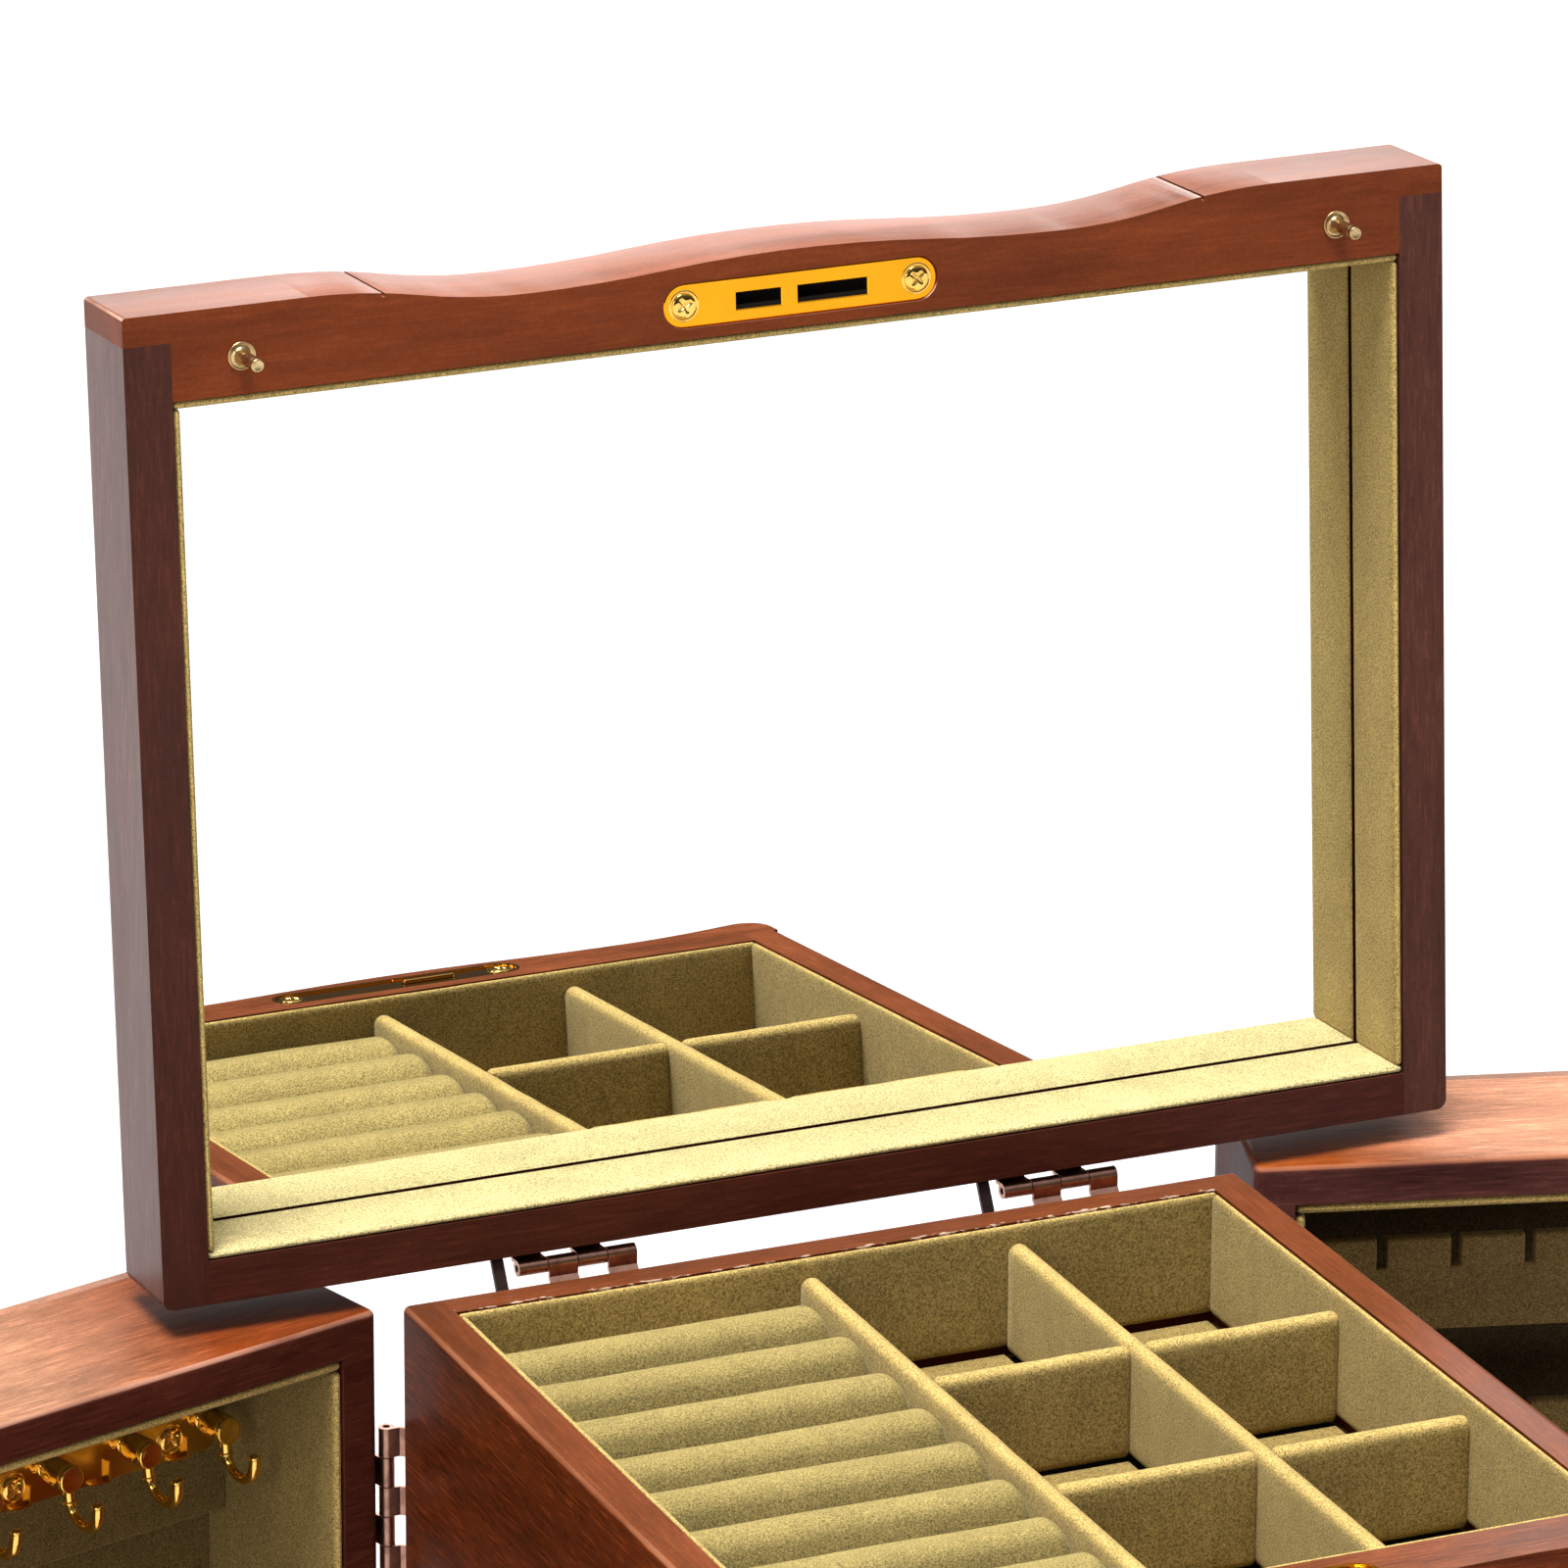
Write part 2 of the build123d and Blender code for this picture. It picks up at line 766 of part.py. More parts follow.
def lid_stop_arms():
    """Flat arms on the lid's back that come to rest behind the chest and stop the raised lid."""
    turn = math.radians(lid_open_angle)
    half = stop_arm_thick / 2
    lid_face = -hinge_standoff
    # Place on the raised lid's back face, a given height above the axis in the closed lid
    def on_lid(height, out):
        y = (lid_face + out) * math.cos(turn) + height * math.sin(turn)
        z = -(lid_face + out) * math.sin(turn) + height * math.cos(turn)
        return (hinge_y + y, hinge_z + z)
    bearing = back_y + stop_arm_clear + half
    root = on_lid(stop_arm_reach, half)
    knee = on_lid(half, half)
    path = Polyline(root, knee, (bearing, rim_z - stop_arm_thick), (bearing, rim_z - stop_arm_foot))
    strip = make_face(offset(path, half, side=Side.BOTH).edges())
    length = lid_hinge_knuckles * knuckle_pitch - knuckle_gap
    arms = []
    for x in lid_hinge_places:
        right = x - length / 2 - stop_arm_gap
        frame = Plane(origin=(right - stop_arm_width, 0, 0), x_dir=(0, 1, 0), z_dir=(1, 0, 0))
        arms.append(extrude(frame.location * strip, stop_arm_width, dir=(1, 0, 0)))
    return arms


# Side doors, made shut on the left and then swung out; the right door is their mirror image

def swung(parts):
    axis = Axis((door_hinge_x, hinge_y, 0), (0, 0, 1))
    return [part.rotate(axis, -door_open_angle) for part in parts]


door_z = (door_low, door_top)
door_back_in = door_out + door_panel_thick
door_front = front_y + chest_set_back
door_front_in = door_front + door_rim
door_end_in = back_y - door_rim


def door_blank():
    """Closed outer shape of a door: a tray on edge, rounded on its outer and hinge corners."""
    blank = block((door_out, door_in), (door_front, back_y), door_z)
    uprights = upright_edges(blank)
    blank = fillet(uprights.group_by(Axis.Y)[0].sort_by(Axis.X)[-1:], seam_round)
    uprights = upright_edges(blank)
    back_pair = uprights.group_by(Axis.Y)[-1]
    blank = fillet(back_pair, door_round)
    top = blank.faces().sort_by(Axis.Z)[-1]
    kept = [edge for edge in top.edges() if edge.center().X < door_in - small_round]
    blank = fillet(kept, edge_round)
    return blank


blank_door = door_blank()


def door_frame():
    """Top and bottom boards over the two end boards, as four separate boards."""
    back = (door_back_in, door_in)
    y = (door_front, back_y)
    top = blank_door & block(back, y, (door_top - door_rim, door_top))
    top = top - rod(pin_hole_radius, (-pin_x, pin_y, door_top), (0, 0, -1), pin_hole_deep)
    bottom = blank_door & block(back, y, (door_low, door_low + door_rim))
    middle = (door_low + door_rim, door_top - door_rim)
    front_end = blank_door & block(back, (door_front, door_front_in), middle)
    hinge_end = blank_door & block(back, (door_end_in, back_y), middle)
    return [top, bottom, front_end, hinge_end]


def door_panel():
    return blank_door & block((door_out, door_back_in), (door_front, back_y), door_z)


def door_lining():
    """Padded strips on the four walls and the back of the door."""
    thick = door_wall_lining_thick
    low = door_low + door_rim
    high = door_top - door_rim
    x = (door_inner_back, door_in - lining_drop)
    back = block((door_back_in, door_inner_back), (door_front_in, door_end_in), (low, high))
    strips = [
        block(x, (door_front_in, door_end_in), (high - thick, high)),
        block(x, (door_front_in, door_end_in), (low, low + thick)),
        block(x, (door_front_in, door_front_in + thick), (low + thick, high - thick)),
        block(x, (door_end_in - thick, door_end_in), (low + thick, high - thick)),
    ]
    rounded = [back]
    for strip in strips:
        mouth = strip.faces().sort_by(Axis.X)[-1]
        long = max(edge.length for edge in mouth.edges())
        rims = [edge for edge in mouth.edges() if edge.length > long - small_round]
        rounded.append(fillet(rims, thick / 3))
    return rounded


door_inner_back = door_back_in + door_lining_thick
door_inner_top = door_top - door_rim - door_wall_lining_thick
door_inner_low = door_low + door_rim + door_wall_lining_thick
door_inner_y = (door_front_in + door_wall_lining_thick, door_end_in - door_wall_lining_thick)


def door_hinge_leaves():
    return [door_hinge_seat(z, True) * hinge_leaf(door_hinge_knuckles, 1) for z in door_hinge_places]


def door_hinge_screws():
    return [door_hinge_seat(z, True) * screw for z in door_hinge_places
            for screw in leaf_screws(door_hinge_knuckles)]


board_face = door_inner_back + board_thick
rail_face = board_face + rail_thick
rail_z = (door_top - rail_drop - rail_high, door_top - rail_drop)
post_z = rail_z[1] - post_below_top
rail_screw_z = post_z - rail_screw_low
hook_pitch = (back_y - hook_first - door_front - hook_last) / (hook_count - 1)
hook_places = [back_y - hook_first - step * hook_pitch for step in range(hook_count)]
rail_screw_places = [place - rail_screw_aside for place in hook_places[::2]]


def hook_board():
    """Padded board behind the hook rail."""
    top = door_inner_top - soft_gap
    y = (door_inner_y[0] + soft_gap, door_inner_y[1] - soft_gap)
    board = block((door_inner_back, board_face), y, (top - board_high, top))
    lip = board.faces().sort_by(Axis.Z)[0].edges().sort_by(Axis.X)[-1:]
    return fillet(lip, board_round)


def hook_rail():
    """Flat gilt rail, screwed beside every second hook, with a small turned-out foot beside each."""
    y = (rail_screw_places[-1] - tab_wide, hook_places[0] + tab_wide)
    rail = block((board_face, rail_face), y, rail_z)
    rail = fillet(rail.edges().filter_by(Axis.X), rail_high / 4)
    out = (board_face, rail_face + tab_out)
    for place in hook_places:
        near = place - post_radius
        leg = block(out, (near - tab_thick, near), (rail_z[0], rail_z[0] + tab_wide))
        foot = block(out, (near - tab_wide, near), (rail_z[0], rail_z[0] + tab_thick))
        rail = rail + leg + foot
    return rail


def rail_screws():
    return [screw_head((rail_face, place, rail_screw_z), (1, 0, 0), rail_screw_radius)
            for place in rail_screw_places]


def hook_post():
    """Turned post on +Z, narrower at its foot."""
    return revolve(Plane.XZ.location * make_face(Polyline(
        (0, 0), (post_neck, 0), (post_neck, post_waist), (post_radius, post_waist), (post_radius, post_length),
        (0, post_length), close=True)), Axis.Z)


def necklace_hook(place):
    """Post standing out of the rail, with a J of thick wire hanging from it."""
    post = Plane(origin=(rail_face, place, post_z), z_dir=(1, 0, 0)).location * hook_post()
    near_x = rail_face + post_length - wire_from_end
    far_x = near_x + 2 * hook_bend
    bend_z = post_z - hook_drop
    path = Curve() + [
        Line((near_x, place, post_z), (near_x, place, bend_z)),
        ThreePointArc((near_x, place, bend_z), (near_x + hook_bend, place, bend_z - hook_bend),
                      (far_x, place, bend_z)),
        Line((far_x, place, bend_z), (far_x, place, bend_z + hook_rise)),
    ]
    section = Plane(origin=(near_x, place, post_z), z_dir=(0, 0, -1)).location * RegularPolygon(
        hook_wire_radius, wire_sides)
    return post + sweep(section, path=path)


def necklace_hooks():
    return [necklace_hook(place) for place in hook_places]


def earring_combs():
    """Padded boards across the door, slotted along their top edges."""
    combs = []
    face = door_in - comb_depth
    y = (door_inner_y[0] + soft_gap, door_inner_y[1] - soft_gap)
    first_top = door_top - door_rim - comb_drop
    comb_pitch = (first_top - comb_high - door_inner_low - comb_foot) / (comb_count - 1)
    slot_pitch = (back_y - slot_first - door_front - slot_last) / (slot_count - 1)
    for step in range(comb_count):
        top = first_top - step * comb_pitch
        comb = block((face - comb_thick, face), y, (top - comb_high, top))
        for slot in range(slot_count):
            middle = back_y - slot_first - slot * slot_pitch
            comb = comb - block((face - comb_thick - overrun, face + overrun),
                                (middle - slot_wide / 2, middle + slot_wide / 2),
                                (top - slot_deep, top + overrun))
        combs.append(comb)
    return combs


# Drawers

def drawer_zone_z(step):
    """Height range of a drawer's place, counted from the top."""
    high = floor_z + drawer_zone - step * drawer_pitch
    return high - drawer_pitch, high


def drawer_front(step):
    low, high = drawer_zone_z(step)
    return chest_front_board((low + front_gap / 2, high - front_gap / 2))


def drawer_tray(step):
    """Two sides, a back and a bottom, behind the front board."""
    low, high = drawer_zone_z(step)
    shelf = bottom_thick if step == drawer_count - 1 else shelf_thick / 2
    z_low = low + shelf + drawer_run_gap
    z_high = high - shelf_thick / 2 - drawer_head_room
    half = inner_half - drawer_side_gap
    back = inner_back - drawer_back_gap
    inside = half - drawer_board
    side = block((inside, half), (side_front_y, back), (z_low, z_high))
    rear = block((-inside, inside), (back - drawer_board, back), (z_low, z_high))
    floor = block((-inside, inside), (side_front_y, back - drawer_board), (z_low, z_low + drawer_bottom))
    return both_sides([side]) + [rear, floor]


def drawer_knobs(step):
    """Two small turned knobs in the hollows of the front."""
    low, high = drawer_zone_z(step)
    z = (low + high) / 2
    face = front_face_y(knob_spread) - knob_seat_gap
    profile = make_face(Polyline(
        (0, 0), (knob_neck, 0), (knob_neck, knob_stand - knob_head), (knob_radius, knob_stand - knob_rim),
        (knob_radius, knob_stand), (0, knob_stand), close=True))
    turned = revolve(Plane.XZ.location * profile, Axis.Z)
    seat = Rot(90, 0, 0) * turned
    return [Pos(sign * knob_spread, face, z) * seat for sign in (-1, 1)]


def save(name, part):
    """Write one node, as one solid or a group of separate solids."""
    if isinstance(part, list):
        solids = [solid for piece in part for solid in piece.solids()]
        part = Compound(children=solids) if len(solids) > 1 else solids[0]
    export_step(part, "parts/" + name + ".step")


left_door = {
    "left_door_frame": door_frame(),
    "left_door_panel": [door_panel()],
    "left_door_lining": door_lining() + [hook_board()],
    "left_door_hinge_leaves": door_hinge_leaves(),
    "left_door_hinge_screws": door_hinge_screws(),
    "hook_rail": [hook_rail()],
    "hook_rail_screws": rail_screws(),
    "necklace_hooks": necklace_hooks(),
}
right_door = {
    "right_door_frame": left_door["left_door_frame"],
    "right_door_panel": left_door["left_door_panel"],
    "right_door_lining": door_lining(),
    "right_door_hinge_leaves": left_door["left_door_hinge_leaves"],
    "right_door_hinge_screws": left_door["left_door_hinge_screws"],
    "earring_combs": earring_combs(),
}
lid = {
    "lid_front_rail": [lid_front_rail()],
    "lid_left_stile": [lid_stile(-1)],
    "lid_right_stile": [lid_stile(1)],
    "lid_back_rail": [lid_back_rail()],
    "lid_panel": [lid_panel()],
    "lid_mirror": [lid_mirror()],
    "lid_lining": lid_lining(),
    "strike_plate": [strike_plate()],
    "strike_screws": strike_screws(),
    "locating_pins": locating_pins(),
    "lid_hinge_leaves": lid_hinge_leaves(),
    "lid_hinge_screws": lid_hinge_screws(),
}
chest = {
    "chest_left_side": chest_side(-1),
    "chest_right_side": chest_side(1),
    "chest_back": chest_back(),
    "chest_bottom": chest_bottom(),
    "shelf_boards": shelf_boards(),
    "tray_front_rail": tray_front_rail(),
    "base_plinth": base_plinth(),
    "base_board": base_board(),
    "tray_wall_lining": tray_wall_lining(),
    "tray_floor": tray_floor(),
    "tray_dividers": tray_dividers(),
    "ring_rolls": ring_rolls(),
    "lock_case": lock_case(),
    "lock_plate": lock_plate(),
    "lock_screws": lock_screws(),
    "lock_bolt": lock_bolt(),
    "keyhole_escutcheon": keyhole_escutcheon(),
    "chest_lid_hinge_leaves": chest_lid_hinge_leaves(),
    "chest_door_hinge_leaves": chest_door_hinge_leaves(),
    "chest_hinge_screws": chest_hinge_screws(),
    "hinge_pins": hinge_pins(),
}

for name, part in chest.items():
    save(name, part)
for name, parts in lid.items():
    save(name, raised(parts))
save("lid_stop_arms", lid_stop_arms())
for name, parts in left_door.items():
    save(name, swung(parts))
for name, parts in right_door.items():
    save(name, [mirror(part, about=Plane.YZ) for part in swung(parts)])
for step in range(drawer_count):
    number = str(step + 1)
    save("drawer_" + number + "_front", drawer_front(step))
    save("drawer_" + number + "_tray", drawer_tray(step))
    save("drawer_" + number + "_knobs", drawer_knobs(step))
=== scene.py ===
import math

import bpy
import numpy as np
from mathutils import Matrix, Vector
from mathutils.geometry import tessellate_polygon


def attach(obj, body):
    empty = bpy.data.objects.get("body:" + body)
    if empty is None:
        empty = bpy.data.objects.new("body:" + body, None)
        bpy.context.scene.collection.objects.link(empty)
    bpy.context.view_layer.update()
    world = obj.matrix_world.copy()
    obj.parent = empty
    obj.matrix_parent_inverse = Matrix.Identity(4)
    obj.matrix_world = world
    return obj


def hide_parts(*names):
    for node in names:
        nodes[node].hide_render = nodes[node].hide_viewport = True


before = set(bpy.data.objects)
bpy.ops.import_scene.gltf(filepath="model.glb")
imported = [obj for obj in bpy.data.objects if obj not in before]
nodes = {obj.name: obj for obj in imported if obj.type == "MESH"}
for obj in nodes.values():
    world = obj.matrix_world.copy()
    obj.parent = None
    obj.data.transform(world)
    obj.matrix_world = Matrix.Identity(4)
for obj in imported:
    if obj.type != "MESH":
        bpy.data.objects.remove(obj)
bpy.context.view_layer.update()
scene = bpy.context.scene
scene.view_settings.view_transform = "Standard"
rng = np.random.default_rng(7)

# Sizes and places in metres, as in the CAD model. X runs to the right, Y to the back and Z up.
RIM, CARCASS_HEIGHT, CARCASS_LOW = 0.306, 0.274, 0.032
CHEST_HALF, CHEST_BACK = 0.125, 0.136
SIDE_FRONT = -0.1185
SIDE_THICK, BACK_THICK = 0.0115, 0.0108
TRAY_RAIL_HEIGHT = 0.052
LOCK_Y, LOCK_SCREW_X, PLATE_SUNK = -0.1214, 0.0339, 0.0005
HINGE_Y, HINGE_Z = 0.1405, 0.309
DOOR_X = -0.128
LID_OPEN = math.radians(94)
DOOR_OPEN = math.radians(74)

# The ways that the insides of the open lid and of the open left door look
LID_OUT = (0, math.sin(-LID_OPEN), -math.cos(-LID_OPEN))
DOOR_OUT_WAY = (math.cos(DOOR_OPEN), -math.sin(DOOR_OPEN), 0)

FILL = 0.9


# ---------------------------------------------------------------- camera and light

def add_camera():
    """Camera fitted to the photograph: a long lens, from the front left and above, rolled by 0.3 degrees."""
    yaw, pitch, roll = (math.radians(v) for v in (-23.5948, 19.5597, 0.2891))
    distance, focal_pixels, photo_pixels, sensor = 2.591466, 9818.8736, 1600, 36
    aim_right, aim_up = 0.1117585, 0.1335604
    back = Vector((math.sin(yaw) * math.cos(pitch), -math.cos(yaw) * math.cos(pitch), math.sin(pitch)))
    right = Vector((math.cos(yaw), math.sin(yaw), 0))
    up = back.cross(right).normalized()
    right, up = (right * math.cos(roll) + up * math.sin(roll), up * math.cos(roll) - right * math.sin(roll))
    target = Vector((aim_right - CHEST_HALF, CHEST_BACK, aim_up + RIM))
    eye = target + back * distance
    data = bpy.data.cameras.new("camera")
    data.sensor_width = sensor
    data.lens = focal_pixels / photo_pixels * sensor
    data.clip_start, data.clip_end = 0.05, 60
    data.dof.use_dof = False
    cam = bpy.data.objects.new("camera", data)
    cam.matrix_world = Matrix(((right.x, up.x, back.x, eye.x), (right.y, up.y, back.y, eye.y),
                               (right.z, up.z, back.z, eye.z), (0, 0, 0, 1)))
    scene.collection.objects.link(cam)
    scene.camera = cam


def add_light(name, kind, energy, place, aim, size):
    """Lamp that looks from its place to the aim. The size is a disc's diameter or the sun's angle."""
    data = bpy.data.lights.new(name, kind)
    data.energy = energy
    if kind == "AREA":
        data.shape = "DISK"
        data.size = size
    else:
        data.angle = size
    lamp = bpy.data.objects.new(name, data)
    lamp.location = place
    lamp.rotation_euler = (Vector(aim) - Vector(place)).to_track_quat("-Z", "Y").to_euler()
    scene.collection.objects.link(lamp)


def add_stage():
    """Studio: a wide floor, a world that grows lighter upwards, and three lamps."""
    mesh = bpy.data.meshes.new("floor")
    far = 30.0
    mesh.from_pydata([(-far, -far, 0), (far, -far, 0), (far, far, 0), (-far, far, 0)], [], [(0, 1, 2, 3)])
    floor = bpy.data.objects.new("floor", mesh)
    scene.collection.objects.link(floor)
    mat = bpy.data.materials.new("floor_white")
    mat.use_nodes = True
    bsdf = mat.node_tree.nodes["Principled BSDF"]
    bsdf.inputs["Base Color"].default_value = (0.5, 0.5, 0.5, 1)
    bsdf.inputs["Roughness"].default_value = 0.9
    bsdf.inputs["Specular IOR Level"].default_value = 0.1
    mesh.materials.append(mat)
    world = bpy.data.worlds.new("studio")
    world.use_nodes = True
    tree = world.node_tree
    place = tree.nodes.new("ShaderNodeTexCoord")
    split = tree.nodes.new("ShaderNodeSeparateXYZ")
    ramp = tree.nodes.new("ShaderNodeValToRGB")
    tree.links.new(place.outputs["Generated"], split.inputs[0])
    tree.links.new(split.outputs["Z"], ramp.inputs[0])
    tree.links.new(ramp.outputs[0], tree.nodes["Background"].inputs["Color"])
    tree.nodes["Background"].inputs["Strength"].default_value = 1.0
    elements = ramp.color_ramp.elements
    elements[0].position, elements[0].color = 0.0, (0.03, 0.03, 0.03, 1)
    elements[1].position, elements[1].color = 0.9, (0.62, 0.62, 0.62, 1)
    middle = elements.new(0.4)
    middle.color = (0.1, 0.1, 0.1, 1)
    scene.world = world
    add_light("key", "SUN", 6.4, (-0.55, -0.3, 3.0), (0, 0, 0.2), math.radians(26))
    add_light("sheen", "AREA", 36, (1.35, 3.0, 1.45), (0, 0, 0.3), 2.0)
    add_light("fill_left", "AREA", 22, (-2.3, -1.3, 1.3), (0, 0, 0.3), 1.5)


# ---------------------------------------------------------------- materials

class Nodes:
    """Short way to write a material's node tree."""

    def __init__(self, name):
        self.mat = bpy.data.materials.new(name)
        self.mat.use_nodes = True
        self.tree = self.mat.node_tree
        self.tree.nodes.clear()
        self.out = self.tree.nodes.new("ShaderNodeOutputMaterial")
        self.bsdf = self.tree.nodes.new("ShaderNodeBsdfPrincipled")
        self.tree.links.new(self.bsdf.outputs[0], self.out.inputs[0])

    def add(self, kind, **inputs):
        node = self.tree.nodes.new("ShaderNode" + kind)
        for key, value in inputs.items():
            if hasattr(node, key) and key not in node.inputs:
                setattr(node, key, value)
            else:
                self.put(node.inputs[key.replace("_", " ")], value)
        return node

    def put(self, socket, value):
        if isinstance(value, bpy.types.NodeSocket):
            self.tree.links.new(value, socket)
        elif isinstance(value, (tuple, list)) and len(value) == 3 and socket.type == "RGBA":
            socket.default_value = (*value, 1)
        else:
            socket.default_value = value

    def set(self, **inputs):
        for key, value in inputs.items():
            self.put(self.bsdf.inputs[key.replace("_", " ")], value)

    def coords(self, turn=(0, 0, 0), scale=(1, 1, 1), upright=False):
        """Object coordinates, turned and scaled.

        Upright swaps X and Z on the faces that look along the turned X.
        """
        place = self.add("TexCoord")
        turned = self.add("Mapping", Vector=place.outputs["Object"], Rotation=turn).outputs[0]
        if upright:
            looks = self.add("Mapping", Vector=place.outputs["Normal"], Rotation=turn).outputs[0]
            along = self.math("ABSOLUTE", self.add("SeparateXYZ", Vector=looks).outputs["X"])
            own = self.add("SeparateXYZ", Vector=turned).outputs
            swapped = self.add("CombineXYZ", X=own["Z"], Y=own["Y"], Z=own["X"]).outputs[0]
            turned = self.mix(self.ramp(along, (0.6, 0.0), (0.8, 1.0)), turned, swapped, kind="VECTOR")
        return self.add("Mapping", Vector=turned, Scale=scale).outputs[0]

    def noise(self, vector, scale, detail=4.0, rough=0.55, distort=0.0):
        return self.add("TexNoise", Vector=vector, Scale=scale, Detail=detail, Roughness=rough,
                        Distortion=distort).outputs["Fac"]

    def ramp(self, fac, *stops):
        node = self.tree.nodes.new("ShaderNodeValToRGB")
        self.tree.links.new(fac, node.inputs[0])
        elements = node.color_ramp.elements
        while len(elements) < len(stops):
            elements.new(0.5)
        for element, (place, colour) in zip(elements, stops):
            element.position = place
            element.color = (*colour, 1) if isinstance(colour, tuple) else (colour, colour, colour, 1)
        return node.outputs[0]

    def mix(self, fac, a, b, blend="MIX", kind="RGBA"):
        """Mix of two colours or vectors. The node has sockets of each kind, which go by their numbers."""
        first, second, result = {"VECTOR": (4, 5, 1), "RGBA": (6, 7, 2)}[kind]
        node = self.tree.nodes.new("ShaderNodeMix")
        node.data_type = kind
        node.blend_type = blend
        self.put(node.inputs[0], fac)
        self.put(node.inputs[first], a)
        self.put(node.inputs[second], b)
        return node.outputs[result]

    def layers(self, tone, *factors):
        """Tone multiplied by each factor in turn."""
        for factor in factors:
            tone = self.mix(1.0, tone, factor, "MULTIPLY")
        return tone

    def math(self, operation, a, b=0.0):
        node = self.tree.nodes.new("ShaderNodeMath")
        node.operation = operation
        self.put(node.inputs[0], a)
        self.put(node.inputs[1], b)
        return node.outputs[0]

    def bump(self, height, strength, distance):
        return self.add("Bump", Height=height, Strength=strength, Distance=distance).outputs[0]


def wood(name, tone, turn=(0, 0, 0), contrast=1.0, gloss=0.34, spec=0.06, top=None, far=None,
         far_at=(0.54, 0.8), wear=None, edge=None, flank=None, pore=0.28, top_pore=1.0, upright=False):
    """Stained and lacquered hardwood. The grain runs along X before the turn.

    Faces that look up take the tone top, with pores top_pore times as strong: painted light and shade, tops
    made paler where a sheen falls and darker where a shadow falls. It goes over to far where X lies between
    the two shares far_at of 0.25 m on either side, so that the painted sheen and shade change along X. Wear
    is a line (y, z) along X beside which the stain is chipped to pale wood. The broken edges that look half
    up are made paler towards the tone edge, a painted highlight, and faces that look along X take the tone
    flank, a painted sheen.
    """
    m = Nodes(name)
    figure = m.noise(m.coords(turn, (1.2, 14, 14), upright), 3.0, 4, 0.55, 1.1)
    pores = m.noise(m.coords(turn, (36, 520, 520), upright), 2.2, 2, 0.6)
    cloud = m.noise(m.coords(turn, (9, 24, 24), upright), 2.0, 4, 0.6, 0.4)
    speck = m.noise(m.coords(), 900, 2, 0.6)
    place = m.add("SeparateXYZ", Vector=m.add("TexCoord").outputs["Object"])
    looks = m.add("SeparateXYZ", Vector=m.add("TexCoord").outputs["Normal"])
    up = looks.outputs["Z"]
    pored = 1.0
    # Painted light and shade on the tops: paler where a sheen falls, darker where a shadow falls, graded
    # along X towards far.
    if top is not None:
        if far is not None:
            out = m.math("MULTIPLY", m.math("ABSOLUTE", place.outputs["X"]), 4.0)
            top = m.mix(m.ramp(out, (far_at[0], 0.0), (far_at[1], 1.0)), top, far)
        upper = m.ramp(up, (0.45, 0.0), (0.85, 1.0))
        tone = m.mix(upper, tone, top)
        pored = m.ramp(upper, (0.2, 1.0), (0.9, top_pore))
    # Painted sheen: faces that look along X, such as the lid stile's outer side, take a paler tone for a
    # reflection.
    if flank is not None:
        along = m.ramp(m.math("ABSOLUTE", looks.outputs["X"]), (0.6, 0.0), (0.95, 1.0))
        tone = m.mix(along, tone, flank)
    k = contrast
    base = m.layers(tone, m.ramp(figure, (0.3, 1 - 0.3 * k), (0.5, 1.0), (0.72, 1 + 0.25 * k)),
                    m.ramp(cloud, (0.3, 1 - 0.2 * k), (0.7, 1 + 0.16 * k)))
    open_pores = m.ramp(pores, (0.35, 1 - 0.6 * pore), (0.44, 1.0), (0.56, 1.0), (0.63, 1 + pore))
    base = m.mix(pored, base, open_pores, "MULTIPLY")
    base = m.layers(base, m.ramp(speck, (0.3, 0.9), (0.7, 1.1)))
    # Painted highlight: broken edges that look half up are made paler, in patches, where light catches them.
    if edge is not None:
        glint_mask = m.ramp(up, (0.3, 0.0), (0.5, 1.0), (0.86, 1.0), (0.95, 0.0))
        glint_mask = m.math("MULTIPLY", glint_mask, m.ramp(cloud, (0.35, 0.25), (0.6, 0.75)))
        base = m.mix(glint_mask, base, edge)
    if wear is not None:
        near = 0.0
        for axis, value in zip("YZ", wear):
            off = m.math("ABSOLUTE", m.math("SUBTRACT", place.outputs[axis], value))
            near = m.math("ADD", near, m.math("MULTIPLY", off, 1000.0))
        flakes = m.noise(m.coords(scale=(0.4, 1, 1)), 520, 4, 0.7)
        chip = m.math("SUBTRACT", flakes, m.math("MULTIPLY", near, 0.11))
        base = m.mix(m.ramp(chip, (0.5, 0.0), (0.54, 1.0)), base, PALE_WOOD)
    rough = m.ramp(cloud, (0.3, gloss - 0.04), (0.7, gloss + 0.07))
    m.set(Base_Color=base, Roughness=rough, Specular_IOR_Level=spec)
    height = m.math("ADD", m.math("MULTIPLY", pores, 0.5), m.math("MULTIPLY", cloud, 0.8))
    m.set(Normal=m.bump(height, 0.12, 0.0004))
    return m.mat


